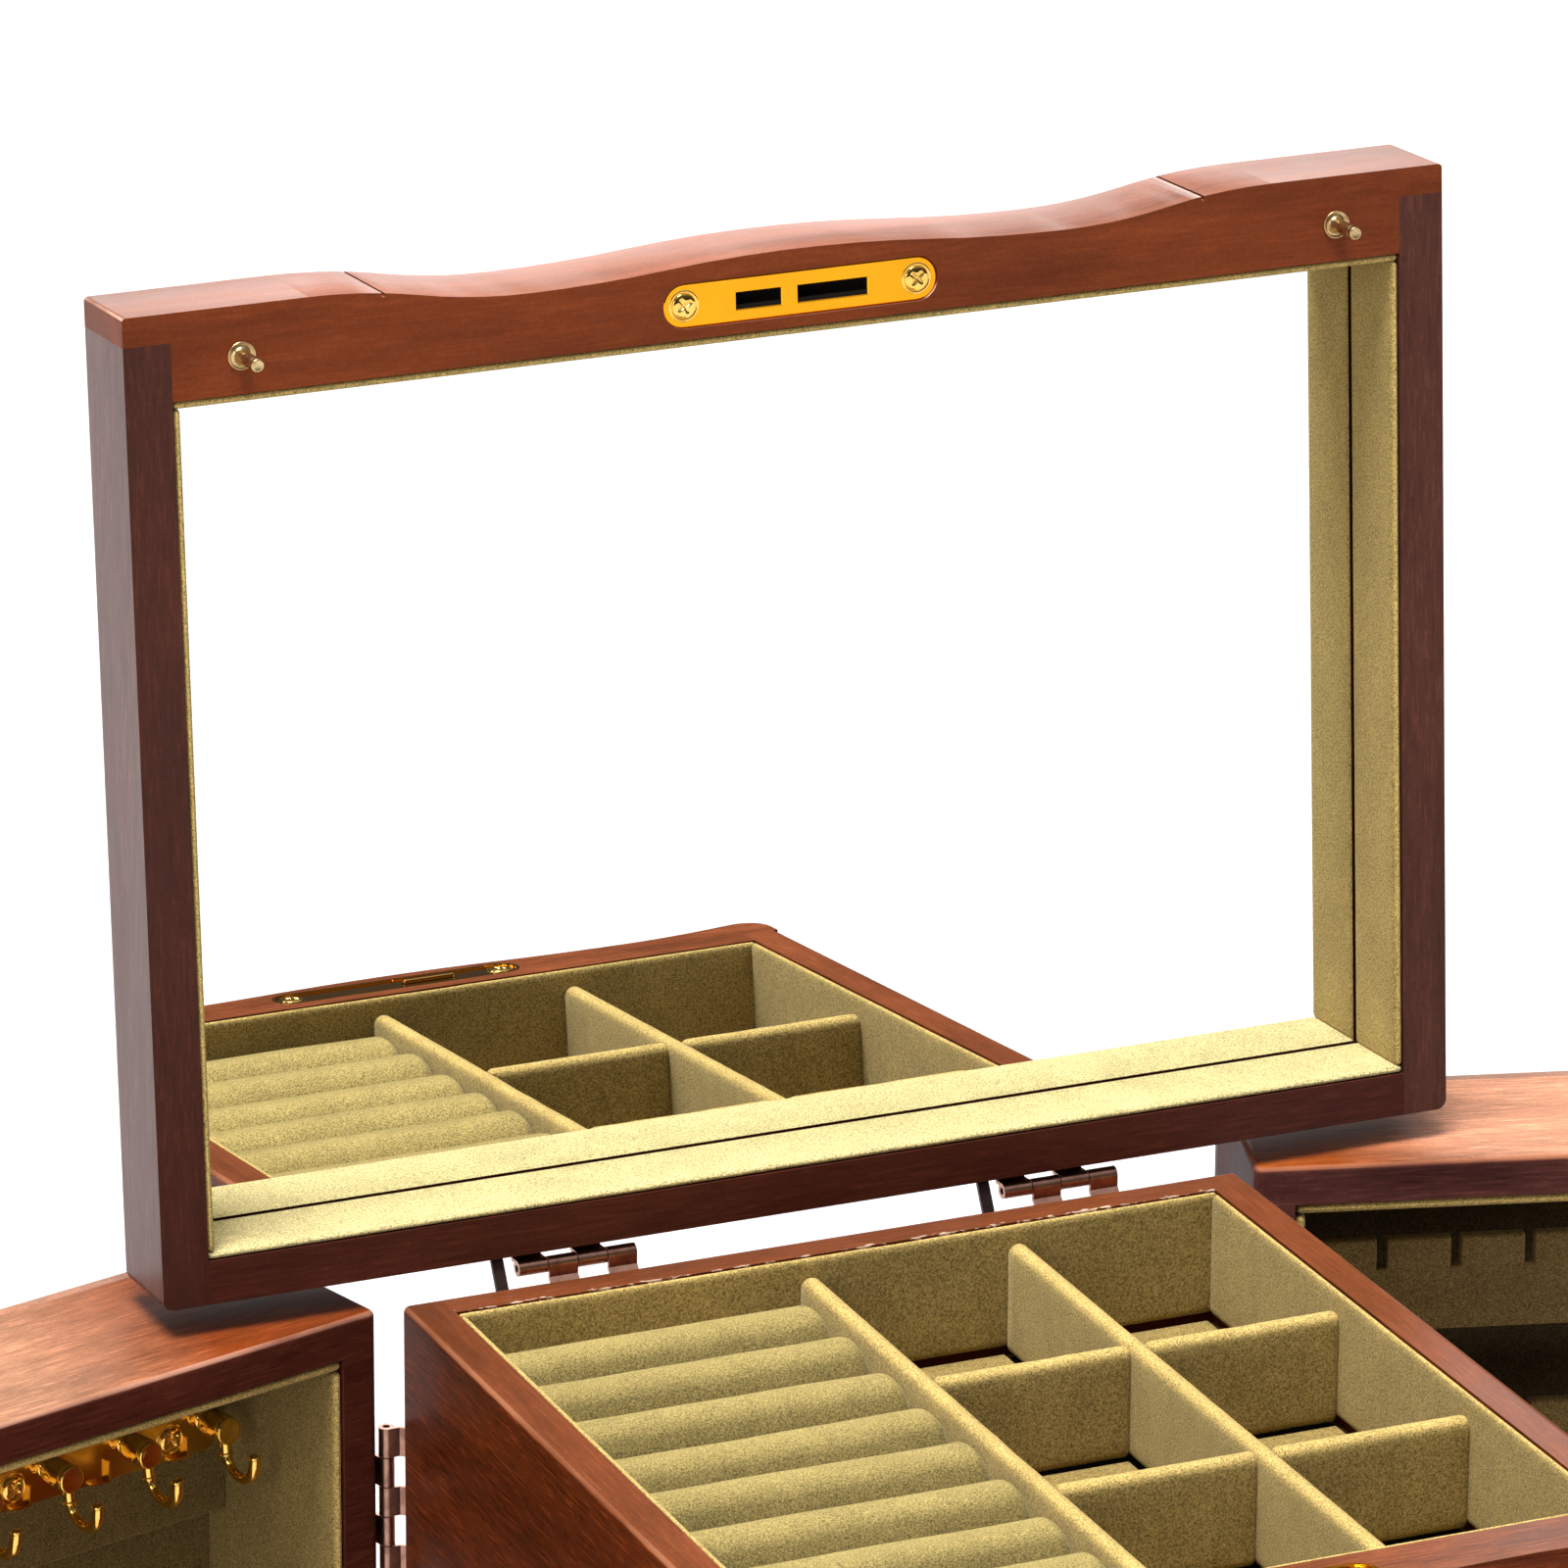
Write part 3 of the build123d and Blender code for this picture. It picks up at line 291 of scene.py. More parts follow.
def suede(name, tone, light_way=None, light_gain=1.0, low=0.95):
    """Napped suede cloth: strong fine speckle, faint brushed patches and a pale sheen.

    Where the surface looks along the given way of the light, as lit rolled edges and tops do, the tone is
    made paler by the given gain, a painted highlight; where it looks away it is multiplied by low, a painted
    shade.
    """
    m = Nodes(name)
    at = m.coords()
    grain = m.noise(at, 1900, 3, 0.75)
    fine = m.noise(at, 3900, 2, 0.7)
    brushed = m.noise(m.coords(scale=(1, 1, 0.6)), 70, 3, 0.6, 0.8)
    base = m.layers(tone, m.ramp(grain, (0.36, 0.4), (0.5, 1.0), (0.64, 1.55)),
                    m.ramp(fine, (0.3, 0.72), (0.7, 1.24)), m.ramp(brushed, (0.3, 0.88), (0.7, 1.08)))
    # Painted light and shade: paler where the surface faces the light, darker where it faces away.
    if light_way is not None:
        turn = m.add("VectorMath", operation="DOT_PRODUCT")
        m.put(turn.inputs[0], m.add("TexCoord").outputs["Normal"])
        turn.inputs[1].default_value = light_way
        base = m.layers(base, m.ramp(turn.outputs["Value"], (0.35, low), (0.95, light_gain)))
    m.set(Base_Color=base, Roughness=0.95, Specular_IOR_Level=0.0, Sheen_Weight=0.4,
          Sheen_Roughness=0.35, Sheen_Tint=(1.0, 0.86, 0.5))
    m.set(Normal=m.bump(m.math("ADD", m.math("MULTIPLY", fine, 0.5), grain), 0.5, 0.0004))
    return m.mat


def metal(name, tone, rough, smear=0.06, dull=None, scale=60, bump=0.0):
    """Plated or polished metal with faint smears, and dull patches where a second tone is given."""
    m = Nodes(name)
    at = m.coords()
    smears = m.noise(at, scale, 4, 0.6, 0.6)
    fine = m.noise(at, 900, 2, 0.5)
    tint = m.ramp(smears, (0.3, tuple(v * 0.88 for v in tone)), (0.7, tone))
    if dull is not None:
        tint = m.mix(m.ramp(smears, (0.42, 0.0), (0.62, 1.0)), tint, dull)
    m.set(Base_Color=tint, Metallic=1.0, Roughness=m.ramp(smears, (0.3, rough), (0.75, rough + smear)))
    if bump:
        m.set(Normal=m.bump(m.math("ADD", fine, smears), bump, 0.0002))
    return m.mat


def plain(name, tone, rough):
    """One even, nearly matt tone."""
    m = Nodes(name)
    m.set(Base_Color=tone, Roughness=rough, Specular_IOR_Level=0.05)
    return m.mat


def mirror_glass():
    """Silvered glass with a trace of dust in its tone."""
    m = Nodes("mirror_glass")
    dust = m.noise(m.coords(), 700, 2, 0.5)
    tone = m.ramp(dust, (0.3, (0.95, 0.965, 0.96)), (0.7, (0.97, 0.975, 0.975)))
    m.set(Base_Color=tone, Metallic=1.0, Roughness=0.0)
    return m.mat


DOWN = (0, math.radians(90), 0)
DEEP = (0, 0, math.radians(90))
DOOR_GRAIN = math.radians(16)
# The rail tops' tone on the next line is painted light: faces that look up are made paler than the boards'
# own stain.
FRONT_TONE, RAIL_TOP = (0.075, 0.015, 0.0045), (0.145, 0.039, 0.0135)
# The first tone on the next line is a painted highlight for broken edges; the pale wood is bare wood where
# the stain is chipped.
EDGE_GLINT, PALE_WOOD = (0.3, 0.12, 0.06), (0.5, 0.36, 0.26)
# Darker suede for the door linings: painted shade for the insides of the open doors.
DOOR_SHADED_CLOTH = (0.235, 0.16, 0.052)
mats = {
    # In the woods below, the top, far, edge and flank tones are painted light: paler tops and far ends stand
    # in for sheen, darker door tops near the chest for the lid's shadow, edge tones for highlights on broken
    # edges, flank for sheen on the lid stile's side.
    "side": wood("wood_chest_side", (0.092, 0.0168, 0.0038), DEEP, 1.1, top=RAIL_TOP, edge=EDGE_GLINT,
                 pore=0.8, top_pore=0.3),
    "back": wood("wood_chest_back", FRONT_TONE, top=RAIL_TOP, wear=(0.1252, RIM)),
    "front": wood("wood_front_boards", FRONT_TONE, top=RAIL_TOP, edge=EDGE_GLINT, pore=0.5),
    "inner": wood("wood_inner", (0.1, 0.045, 0.018), DEEP, spec=0.1, gloss=0.6),
    "lid_front": wood("wood_lid_front", (0.17, 0.0355, 0.0092), top=(0.25, 0.085, 0.046),
                      far=(0.18, 0.05, 0.018), gloss=0.36, spec=0.085, edge=(0.62, 0.4, 0.32), pore=0.15),
    "lid_stile": wood("wood_lid_stile", (0.06, 0.0155, 0.0088), DOWN, 0.8, spec=0.16,
                      flank=(0.13, 0.07, 0.062), pore=0.3),
    "lid_stile_right": wood("wood_lid_right_stile", (0.078, 0.0255, 0.0165), DOWN, 0.8, spec=0.1, pore=0.3),
    "lid_back": wood("wood_lid_back", (0.058, 0.0142, 0.0083), contrast=0.8,
                     edge=(0.16, 0.07, 0.045), pore=0.3),
    "lid_panel": wood("wood_lid_panel", FRONT_TONE, DOWN, 1.2),
    "door": wood("wood_door_boards", (0.07, 0.0168, 0.0095), (0, 0, -DOOR_GRAIN), top=(0.15, 0.029, 0.0055),
                 far=(0.31, 0.145, 0.08), far_at=(0.72, 0.94), spec=0.01, contrast=1.3,
                 edge=(0.48, 0.25, 0.17), pore=0.4, upright=True),
    "door_right": wood("wood_right_door_boards", (0.093, 0.03, 0.0245), (0, 0, DOOR_GRAIN),
                       top=(0.26, 0.055, 0.008), far=(0.47, 0.21, 0.12), far_at=(0.62, 0.8), spec=0.01,
                       contrast=1.3, edge=(0.33, 0.12, 0.06), pore=0.4, upright=True),
    "door_panel": wood("wood_door_panels", FRONT_TONE, DOWN, 1.2, top=(0.25, 0.1, 0.05)),
    # The suede copies below differ in tone only. The lid's two are paler, painted light; those of the doors,
    # the hook board, the right door's back and the combs are darker, painted shade. The way and gain given to
    # some paint highlights on lit edges and tops.
    "suede": suede("olive_suede", (0.265, 0.19, 0.063)),
    "suede_roll": suede("olive_suede_rolls", (0.222, 0.17, 0.061), (0, 0.5, 0.866), 1.55, 0.7),
    "suede_tray": suede("olive_suede_tray", (0.3, 0.214, 0.073), (0, 0, 1), 1.6),
    "suede_lid": suede("olive_suede_lid_painted_light", (0.35, 0.25, 0.085), LID_OUT, 1.5),
    "suede_lit": suede("olive_suede_lit", (0.56, 0.47, 0.22)),
    "suede_left": suede("olive_suede_left_door_painted_shade_and_light", DOOR_SHADED_CLOTH, DOOR_OUT_WAY, 2.1),
    "suede_left_back": suede("olive_suede_hook_board_painted_shade", (0.15, 0.1, 0.034)),
    "suede_right": suede("olive_suede_right_door_painted_shade_and_light", DOOR_SHADED_CLOTH, (-DOOR_OUT_WAY[0], DOOR_OUT_WAY[1], 0), 2.1),
    "suede_right_back": suede("olive_suede_right_back_painted_shade", (0.1, 0.067, 0.032)),
    "suede_comb": suede("olive_suede_combs_painted_shade", (0.215, 0.14, 0.05)),
    "gold": metal("polished_gilt", (1.0, 0.63, 0.15), 0.045, 0.03),
    "gold_rail": metal("gilt_rail", (0.72, 0.4, 0.07), 0.2, 0.08),
    "gold_plate": metal("gilt_plate", (0.97, 0.41, 0.014), 0.07, 0.03),
    "brass": metal("aged_brass", (0.74, 0.55, 0.28), 0.25, 0.1, (0.44, 0.28, 0.13), 260, 0.1),
    "copper": metal("antique_copper", (0.5, 0.27, 0.2), 0.27, 0.12, (0.3, 0.15, 0.11), 210, 0.15),
    "dark_steel": metal("dark_steel", (0.07, 0.045, 0.04), 0.4, 0.1),
    "steel": metal("plain_steel", (0.55, 0.54, 0.52), 0.35, 0.1),
    "mirror": mirror_glass(),
    "dark": plain("slot_shadow", (0.008, 0.006, 0.005), 0.9),
}


def dress(mat, *names):
    """Gives CAD nodes a material in place of their own."""
    for name in names:
        mesh = nodes[name].data
        mesh.materials.clear()
        mesh.materials.append(mats[mat])


def soften(width, *names):
    """Slightly broken edges on the boards and metal plates."""
    for name in names:
        weld = nodes[name].modifiers.new("weld", "WELD")
        weld.merge_threshold = 1e-6
        bevel = nodes[name].modifiers.new("edges", "BEVEL")
        bevel.width = width
        bevel.segments = 2
        bevel.limit_method = "ANGLE"
        bevel.angle_limit = math.radians(40)
        bevel.harden_normals = True


# ---------------------------------------------------------------- soft pieces

def axis_stations(lo, hi, radius, step):
    """Places along one axis of a rounded block: close together in the rounded ends, even between."""
    radius = min(radius, (hi - lo) / 2)
    bend = radius * (1 - np.cos(np.linspace(0, math.pi / 2, 6)))
    count = max(2, int(round((hi - lo - 2 * radius) / step)) + 1)
    middle = np.linspace(lo + radius, hi - radius, count)
    return np.unique(np.round(np.concatenate([lo + bend, middle, hi - bend]), 7))


def block_mesh(lo, hi, radii, step):
    """Points and quads of a block's surface, rounded by an ellipsoid of the given radii at its edges.

    A lattice point p on the box goes to c + r d/|d|, where c is p clamped to the box inset by r,
    and d = (p - c)/r.
    """
    lo, hi, radii = (np.array(v, float) for v in (lo, hi, radii))
    radii = np.minimum(radii, (hi - lo) / 2 - 1e-6)
    axes = [axis_stations(lo[k], hi[k], radii[k], step) for k in range(3)]
    sizes = [len(a) for a in axes]
    index = {}
    points, quads = [], []

    def at(i, j, k):
        key = (i, j, k)
        if key not in index:
            index[key] = len(points)
            points.append((axes[0][i], axes[1][j], axes[2][k]))
        return index[key]

    for axis in range(3):
        u, v = [a for a in range(3) if a != axis]
        for end in (0, sizes[axis] - 1):
            for i in range(sizes[u] - 1):
                for j in range(sizes[v] - 1):
                    corners = []
                    for di, dj in ((0, 0), (1, 0), (1, 1), (0, 1)):
                        key = [0, 0, 0]
                        key[axis], key[u], key[v] = end, i + di, j + dj
                        corners.append(at(*key))
                    flip = (end == 0) != (axis == 1)
                    quads.append(corners[::-1] if flip else corners)
    p = np.array(points)
    core = np.clip(p, lo + radii, hi - radii)
    d = (p - core) / radii
    length = np.linalg.norm(d, axis=1, keepdims=True)
    length[length == 0] = 1
    return core + radii * d / length, np.array(quads)


def wander(p, size, amount, seed):
    """Smooth small displacement of points: a sum of four plane waves of about the given wavelength."""
    local = np.random.default_rng(seed)
    shift = np.zeros(len(p))
    for _ in range(4):
        way = local.normal(size=3)
        way /= np.linalg.norm(way)
        shift += np.sin(p @ way * 2 * math.pi / (size * local.uniform(0.7, 1.5)) + local.uniform(0, 6.3))
    return amount * shift / 4


def add_mesh(name, points, faces, mat, body, replaces=(), pad=None):
    """Smooth piece that rides on a body. A face with a doubled corner becomes a triangle."""
    corners = [tuple(dict.fromkeys(int(v) for v in face)) for face in faces]
    mesh = bpy.data.meshes.new(name)
    mesh.from_pydata([tuple(map(float, p)) for p in points], [], corners)
    mesh.polygons.foreach_set("use_smooth", [True] * len(mesh.polygons))
    mesh.materials.append(mats[mat])
    mesh.update()
    piece = bpy.data.objects.new(name, mesh)
    scene.collection.objects.link(piece)
    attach(piece, body)
    if replaces:
        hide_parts(*replaces)
    return piece


def join(parts):
    """Several (points, quads) meshes as one."""
    points, quads, start = [], [], 0
    for p, q in parts:
        points.append(p)
        quads.append(q + start)
        start += len(p)
    return np.concatenate(points), np.concatenate(quads)


def raise_lid(p):
    """Points of the shut lid, turned with it about its hinge axis to where it stands open."""
    y, z = p[:, 1] - HINGE_Y, p[:, 2] - HINGE_Z
    c, s = math.cos(-LID_OPEN), math.sin(-LID_OPEN)
    return np.stack([p[:, 0], HINGE_Y + c * y - s * z, HINGE_Z + s * y + c * z], 1)


def swing_left(p):
    """Points of the shut left door, turned to where it stands open."""
    x, y = p[:, 0] - DOOR_X, p[:, 1] - HINGE_Y
    c, s = math.cos(-DOOR_OPEN), math.sin(-DOOR_OPEN)
    return np.stack([DOOR_X + c * x - s * y, HINGE_Y + s * x + c * y, p[:, 2]], 1)


def swing_right(p):
    """The same for the right door, which mirrors the left one."""
    return swing_left(p) * np.array([-1, 1, 1])


def flipped(quads):
    """Quads wound the other way round, for mirrored points."""
    return quads[:, ::-1]


def soft(lo, hi, radii, step=0.004, sag=0.0, seed=1, wave=0.03):
    """Padded block with rounded edges, which sinks in by up to sag in waves of about the given length."""
    p, q = block_mesh(lo, hi, radii, step)
    if sag:
        centre = (np.array(lo) + np.array(hi)) / 2
        out = p - centre
        out /= np.maximum(np.linalg.norm(out, axis=1, keepdims=True), 1e-9)
        p = p - out * np.abs(wander(p, wave, sag, seed))[:, None]
    return p, q


def strips(boxes, z0, z1, radii, step, sag, seed):
    """Padded strips between two heights. A box is ((x, y), (x, y)), and each has the next seed."""
    return [soft((*lo, z0), (*hi, z1), radii, step, sag, seed + k) for k, (lo, hi) in enumerate(boxes)]


# Tray
LINING, RAIL_STEP, TRAY_DEEP = 0.0023, 0.0082, 0.0374
RING_BAY, ROLL_COUNT, ROLL_DROP = 0.0977, 9, 0.0088
DIV, DIV_DROP = 0.006, 0.0053
TRAY_X = CHEST_HALF - SIDE_THICK
TRAY_BACK = CHEST_BACK - BACK_THICK
TRAY_FRONT = SIDE_FRONT + RAIL_STEP
IN_X = TRAY_X - LINING
IN_BACK, IN_FRONT = TRAY_BACK - LINING, TRAY_FRONT + LINING
FLOOR_Z = RIM - TRAY_DEEP
DIV_A = -IN_X + RING_BAY + DIV / 2
DIV_B = (DIV_A + DIV / 2 + IN_X) / 2
CELL = (IN_BACK - IN_FRONT) / 3
DIV_TOP = RIM - DIV_DROP


def tray_walls():
    """Padded strips round the tray: the back and front ones full length, the side ones between them."""
    lap = 0.0004
    boxes = [((-TRAY_X, IN_BACK), (TRAY_X, TRAY_BACK)), ((-TRAY_X, TRAY_FRONT), (TRAY_X, IN_FRONT)),
             ((-TRAY_X, IN_FRONT - lap), (-IN_X, IN_BACK + lap)),
             ((IN_X, IN_FRONT - lap), (TRAY_X, IN_BACK + lap))]
    pads = strips(boxes, FLOOR_Z + 0.0015, RIM - 0.0002, (0.0012, 0.0012, 0.0022), 0.005, 0.00025, 11)
    add_mesh("tray_wall_pads", *join(pads), "suede_tray", "chest", ["tray_wall_lining"], FILL)


def tray_floor_pads():
    """Padded floor: one pad under the ring rolls and one in each cell, over a near-black sheet that is
    painted shade in the gaps between them.
    """
    z0, z1 = FLOOR_Z - 0.002, FLOOR_Z
    inset, gap = 0.0006, 0.0005
    rows = [(IN_FRONT, IN_FRONT + CELL), (IN_FRONT + CELL, IN_FRONT + 2 * CELL),
            (IN_FRONT + 2 * CELL, IN_BACK)]
    columns = [(DIV_A, DIV_B), (DIV_B, IN_X + DIV / 2)]
    pads = [soft((-IN_X + inset, IN_FRONT + inset, z0), (DIV_A, IN_BACK - inset, z1), (0.0008,) * 3, 0.02)]
    for a, (y0, y1) in enumerate(rows):
        y0 += 0 if a == 0 else DIV / 2
        y1 -= 0 if a == len(rows) - 1 else DIV / 2
        for x0, x1 in columns:
            pads.append(soft((x0 + DIV / 2 + gap, y0 + gap, z0), (x1 - DIV / 2 - gap, y1 - gap, z1),
                             (0.001,) * 3, 0.006, 0.0002, 20 + a))
    add_mesh("tray_floor_pads", *join(pads), "suede", "chest", ["tray_floor"], FILL)
    # Near-black sheet under the pads: painted shade seen in the gaps.
    backing = block_mesh((-IN_X, IN_FRONT, z0 - 0.0001), (IN_X, IN_BACK, z0 + 0.0004), (0.0001,) * 3, 0.1)
    add_mesh("tray_floor_shade_sheet", *backing, "dark", "chest")


def dividers():
    """Padded dividers: two from front to back, and two across in each of their two columns."""
    h, lap, bury = DIV / 2, 0.0003, 0.0009
    z0 = FLOOR_Z - lap
    r = (h * 0.98, 0.001, h * 0.95)
    parts = [soft((x - h, IN_FRONT - lap, z0), (x + h, IN_BACK + lap, DIV_TOP), r, 0.004, 0.00035,
                  30 + k, 0.022) for k, x in enumerate((DIV_A, DIV_B))]
    r = (0.0022, h * 0.98, h * 0.95)
    spans = [(DIV_A + h - bury, DIV_B - h + bury), (DIV_B + h - bury, IN_X + bury)]
    for row in (1, 2):
        y = IN_FRONT + row * CELL
        for x0, x1 in spans:
            parts.append(soft((x0, y - h, z0), (x1, y + h, DIV_TOP - 0.0002), r, 0.004, 0.0003,
                              40 + row, 0.02))
    add_mesh("tray_divider_pads", *join(parts), "suede_tray", "chest", ["tray_dividers"], FILL)


def roll_surface(x0, x1, y, half, z0, crown, seed):
    """One ring roll: round crown on upright sides, drawn in to rounded ends.

    Section at x: y = w cos(a)^0.85, z = shoulder + h sin(a) for a in 0..pi above upright sides. At the
    ends t runs from 0 to 1 over the last millimetres, g = (1 - t^2.6)^(1/2.6),
    w = half (0.62 + 0.38 g) (0.86 + 0.14 g) and h = half (0.5 + 0.5 g).
    """
    local = np.random.default_rng(seed)
    ends = np.array([1, 0.93, 0.8, 0.62, 0.42, 0.2, 0])
    left, right, between = 0.003, 0.0046, 24
    middle = np.linspace(x0 + left, x1 - right, between + 2)[1:-1]
    xs = np.concatenate([x0 + left * (1 - ends), middle, x1 - right * (1 - ends[::-1])])
    t = np.concatenate([ends, np.zeros(between), ends[::-1]])
    grow = (1 - t ** 2.6) ** (1 / 2.6)
    arc = np.linspace(0, math.pi, 25)
    shoulder = crown - half
    side = np.linspace(z0, shoulder, 4)[:-1]
    points = []
    lean = local.uniform(-0.0003, 0.0003)
    for x, g in zip(xs, grow):
        pinch = 0.86 + 0.14 * g
        w = half * (0.62 + 0.38 * g)
        top = shoulder + half * (0.5 + 0.5 * g)
        ring = [(w * pinch, z) for z in side]
        for a in arc:
            c = math.cos(a)
            out = w * pinch * math.copysign(abs(c) ** 0.85, c)
            ring.append((out, shoulder + (top - shoulder) * math.sin(a)))
        ring += [(-w * pinch, z) for z in side[::-1]]
        points += [(x, y + u + lean * math.sin((x - x0) * 40), v) for u, v in ring]
    n = len(side) * 2 + len(arc)
    quads = []
    for i in range(len(xs) - 1):
        for j in range(n - 1):
            a = i * n + j
            quads.append((a, a + 1, a + n + 1, a + n))
    p = np.array(points)
    p[:, 2] += wander(p, 0.03, 0.00018, seed)
    return p, np.array(quads)


def ring_rolls():
    """The ring rolls, side by side across the bay; their crowns differ a little in height."""
    pitch = (IN_BACK - IN_FRONT) / ROLL_COUNT
    for k in range(ROLL_COUNT):
        y = IN_FRONT + (k + 0.5) * pitch
        crown = RIM - ROLL_DROP + 0.0004 * math.sin(2.1 * k)
        p, q = roll_surface(-IN_X - 0.0005, DIV_A - DIV / 2 + 0.0009, y, pitch / 2 - 0.0001, FLOOR_Z - 0.001,
                            crown, 60 + k)
        add_mesh("ring_roll_%d" % (k + 1), p, q, "suede_roll", "chest", ["ring_rolls"], FILL)


# Lid lining
LID_SIDE_WIDTH, LID_FRONT_WIDTH, LID_BACK_WIDTH, LID_GAP = 0.0132, 0.0238, 0.0122, 0.0005
LID_HALF, LID_FACE = 0.192, -0.136
LID_X = LID_HALF - LID_SIDE_WIDTH
LID_FRONT = LID_FACE + LID_FRONT_WIDTH
LID_BACK = CHEST_BACK - LID_BACK_WIDTH
LID_LOW = RIM + LID_GAP


def lid_lining():
    """Padded strips round the lid's inside, in paler copies of the suede that are painted light. The back
    one, pale in the photograph, is a piece of its own.
    """
    t, lap = 0.0024, 0.0003
    size = (LID_LOW + 0.0004, LID_LOW + 0.0263, (0.0013, 0.0013, 0.0024), 0.005, 0.00022)
    # The back strip's much paler suede is painted light, for the light that the mirror throws on it; the
    # other strips' paler suede is painted light too.
    p, q = strips([((-LID_X, LID_BACK - t), (LID_X, LID_BACK))], *size, 71)[0]
    add_mesh("lid_lining_back_pad", raise_lid(p), q, "suede_lit", "lid", ["lid_lining"], FILL)
    y0, y1 = LID_FRONT + t - lap, LID_BACK - t + lap
    boxes = [((-LID_X, LID_FRONT), (LID_X, LID_FRONT + t)), ((-LID_X, y0), (-LID_X + t, y1)),
             ((LID_X - t, y0), (LID_X, y1))]
    p, q = join(strips(boxes, *size, 72))
    add_mesh("lid_lining_pads", raise_lid(p), q, "suede_lid", "lid", ["lid_lining"], FILL)


def lid_mirror():
    """Flat mirror plate, whose silvered face lies 26.5 mm above the lid's lower face when the lid is shut.

    The mesh is flat. Only the shading normals of that face are tilted, by about 0.6 degrees, so that its
    reflection sits where the photograph has it.
    """
    z, inset = LID_LOW + 0.0265, 0.0026
    x, y0, y1 = LID_X - inset, LID_FRONT + inset, LID_BACK - inset
    corners = ((-x, y0), (x, y0), (x, y1), (-x, y1))
    p = np.array([(u, v, z + behind) for behind in (0.0, 0.00025, 0.002) for u, v in corners])
    faces = [(3, 2, 1, 0)]
    faces += [(a + k, a + (k + 1) % 4, a + 4 + (k + 1) % 4, a + 4 + k) for a in (0, 4) for k in range(4)]
    piece = add_mesh("lid_mirror_glass", raise_lid(p), faces, "mirror", "lid", ["lid_mirror"])
    mesh = piece.data
    mesh.set_sharp_from_angle(angle=math.radians(3))
    lean = Vector((0.0068, 0.0, -0.0085))
    normals = []
    for face in mesh.polygons:
        n = (face.normal + lean).normalized() if face.index == 0 else face.normal
        normals += [n] * face.loop_total
    mesh.normals_split_custom_set(normals)


# Doors, given on the shut left one
DOOR_RIM, DOOR_PANEL, DOOR_LINING = 0.0116, 0.005, 0.0023
DOOR_OUT, DOOR_IN = -0.191, -0.1254
DOOR_BACK_IN = DOOR_OUT + DOOR_PANEL
DOOR_LOW, DOOR_TOP = 0.0326, 0.3052
DOOR_FRONT, DOOR_END = -0.134 + DOOR_RIM, CHEST_BACK - DOOR_RIM
HOOK_COUNT, HOOK_FIRST, HOOK_PITCH = 9, 0.0253, 0.0262
BOARD_THICK, BOARD_HIGH, RAIL_THICK, RAIL_DROP, POST_BELOW_TOP = 0.0087, 0.0559, 0.001, 0.0352, 0.005
RAIL_SCREW_ASIDE, RAIL_SCREW_LOW = 0.0093, 0.0049
RAIL_FACE = DOOR_BACK_IN + DOOR_LINING + BOARD_THICK + RAIL_THICK
HOOK_Z = DOOR_TOP - RAIL_DROP - POST_BELOW_TOP
COMB_COUNT, COMB_DROP, COMB_PITCH, COMB_HIGH, COMB_THICK, COMB_DEPTH = 4, 0.024, 0.052, 0.0286, 0.004, 0.03
SLOT_COUNT, SLOT_FIRST, SLOT_PITCH, SLOT_HALF, SLOT_DEEP = 11, 0.0212, 0.0215, 0.00125, 0.0091


def door_lining(with_board):
    """Padding of the shut left door: its four walls, and its back, with the hooks' padded board if asked."""
    t, lap = 0.0034, 0.0003
    low, high = DOOR_LOW + DOOR_RIM, DOOR_TOP - DOOR_RIM
    x0, x1 = DOOR_BACK_IN + 0.0005, DOOR_IN - 0.0003
    x = DOOR_BACK_IN + DOOR_LINING
    back = [soft((DOOR_BACK_IN, DOOR_FRONT, low), (x, DOOR_END, high), (0.001,) * 3, 0.008, 0.0003, 81)]
    z0, z1 = low + t - lap, high - t + lap
    boxes = [((DOOR_FRONT, high - t), (DOOR_END, high)), ((DOOR_FRONT, low), (DOOR_END, low + t)),
             ((DOOR_FRONT, z0), (DOOR_FRONT + t, z1)), ((DOOR_END - t, z0), (DOOR_END, z1))]
    walls = [soft((x0, *lo), (x1, *hi), (0.0028, 0.0018, 0.0018), 0.006, 0.00022, 82 + k)
             for k, (lo, hi) in enumerate(boxes)]
    if with_board:
        top = high - t - lap
        back.append(soft((x, DOOR_FRONT + t + lap, top - BOARD_HIGH),
                         (x + BOARD_THICK, DOOR_END - t - lap, top),
                         (0.0012, 0.001, 0.0012), 0.006, 0.0002, 86))
    return join(walls), join(back)


def door_linings():
    """Padding of both doors, moved to where they stand open."""
    own = ["left_door_lining"]
    (p, q), (back, faces) = door_lining(True)
    add_mesh("left_door_pads", swing_left(p), q, "suede_left", "left_door", own, FILL)
    add_mesh("left_door_back_pads", swing_left(back), faces, "suede_left_back", "left_door", own, FILL)
    own = ["right_door_lining"]
    (p, q), (back, faces) = door_lining(False)
    add_mesh("right_door_pads", swing_right(p), flipped(q), "suede_right", "right_door", own, FILL)
    add_mesh("right_door_back_pad", swing_right(back), flipped(faces), "suede_right_back", "right_door",
             own, FILL)


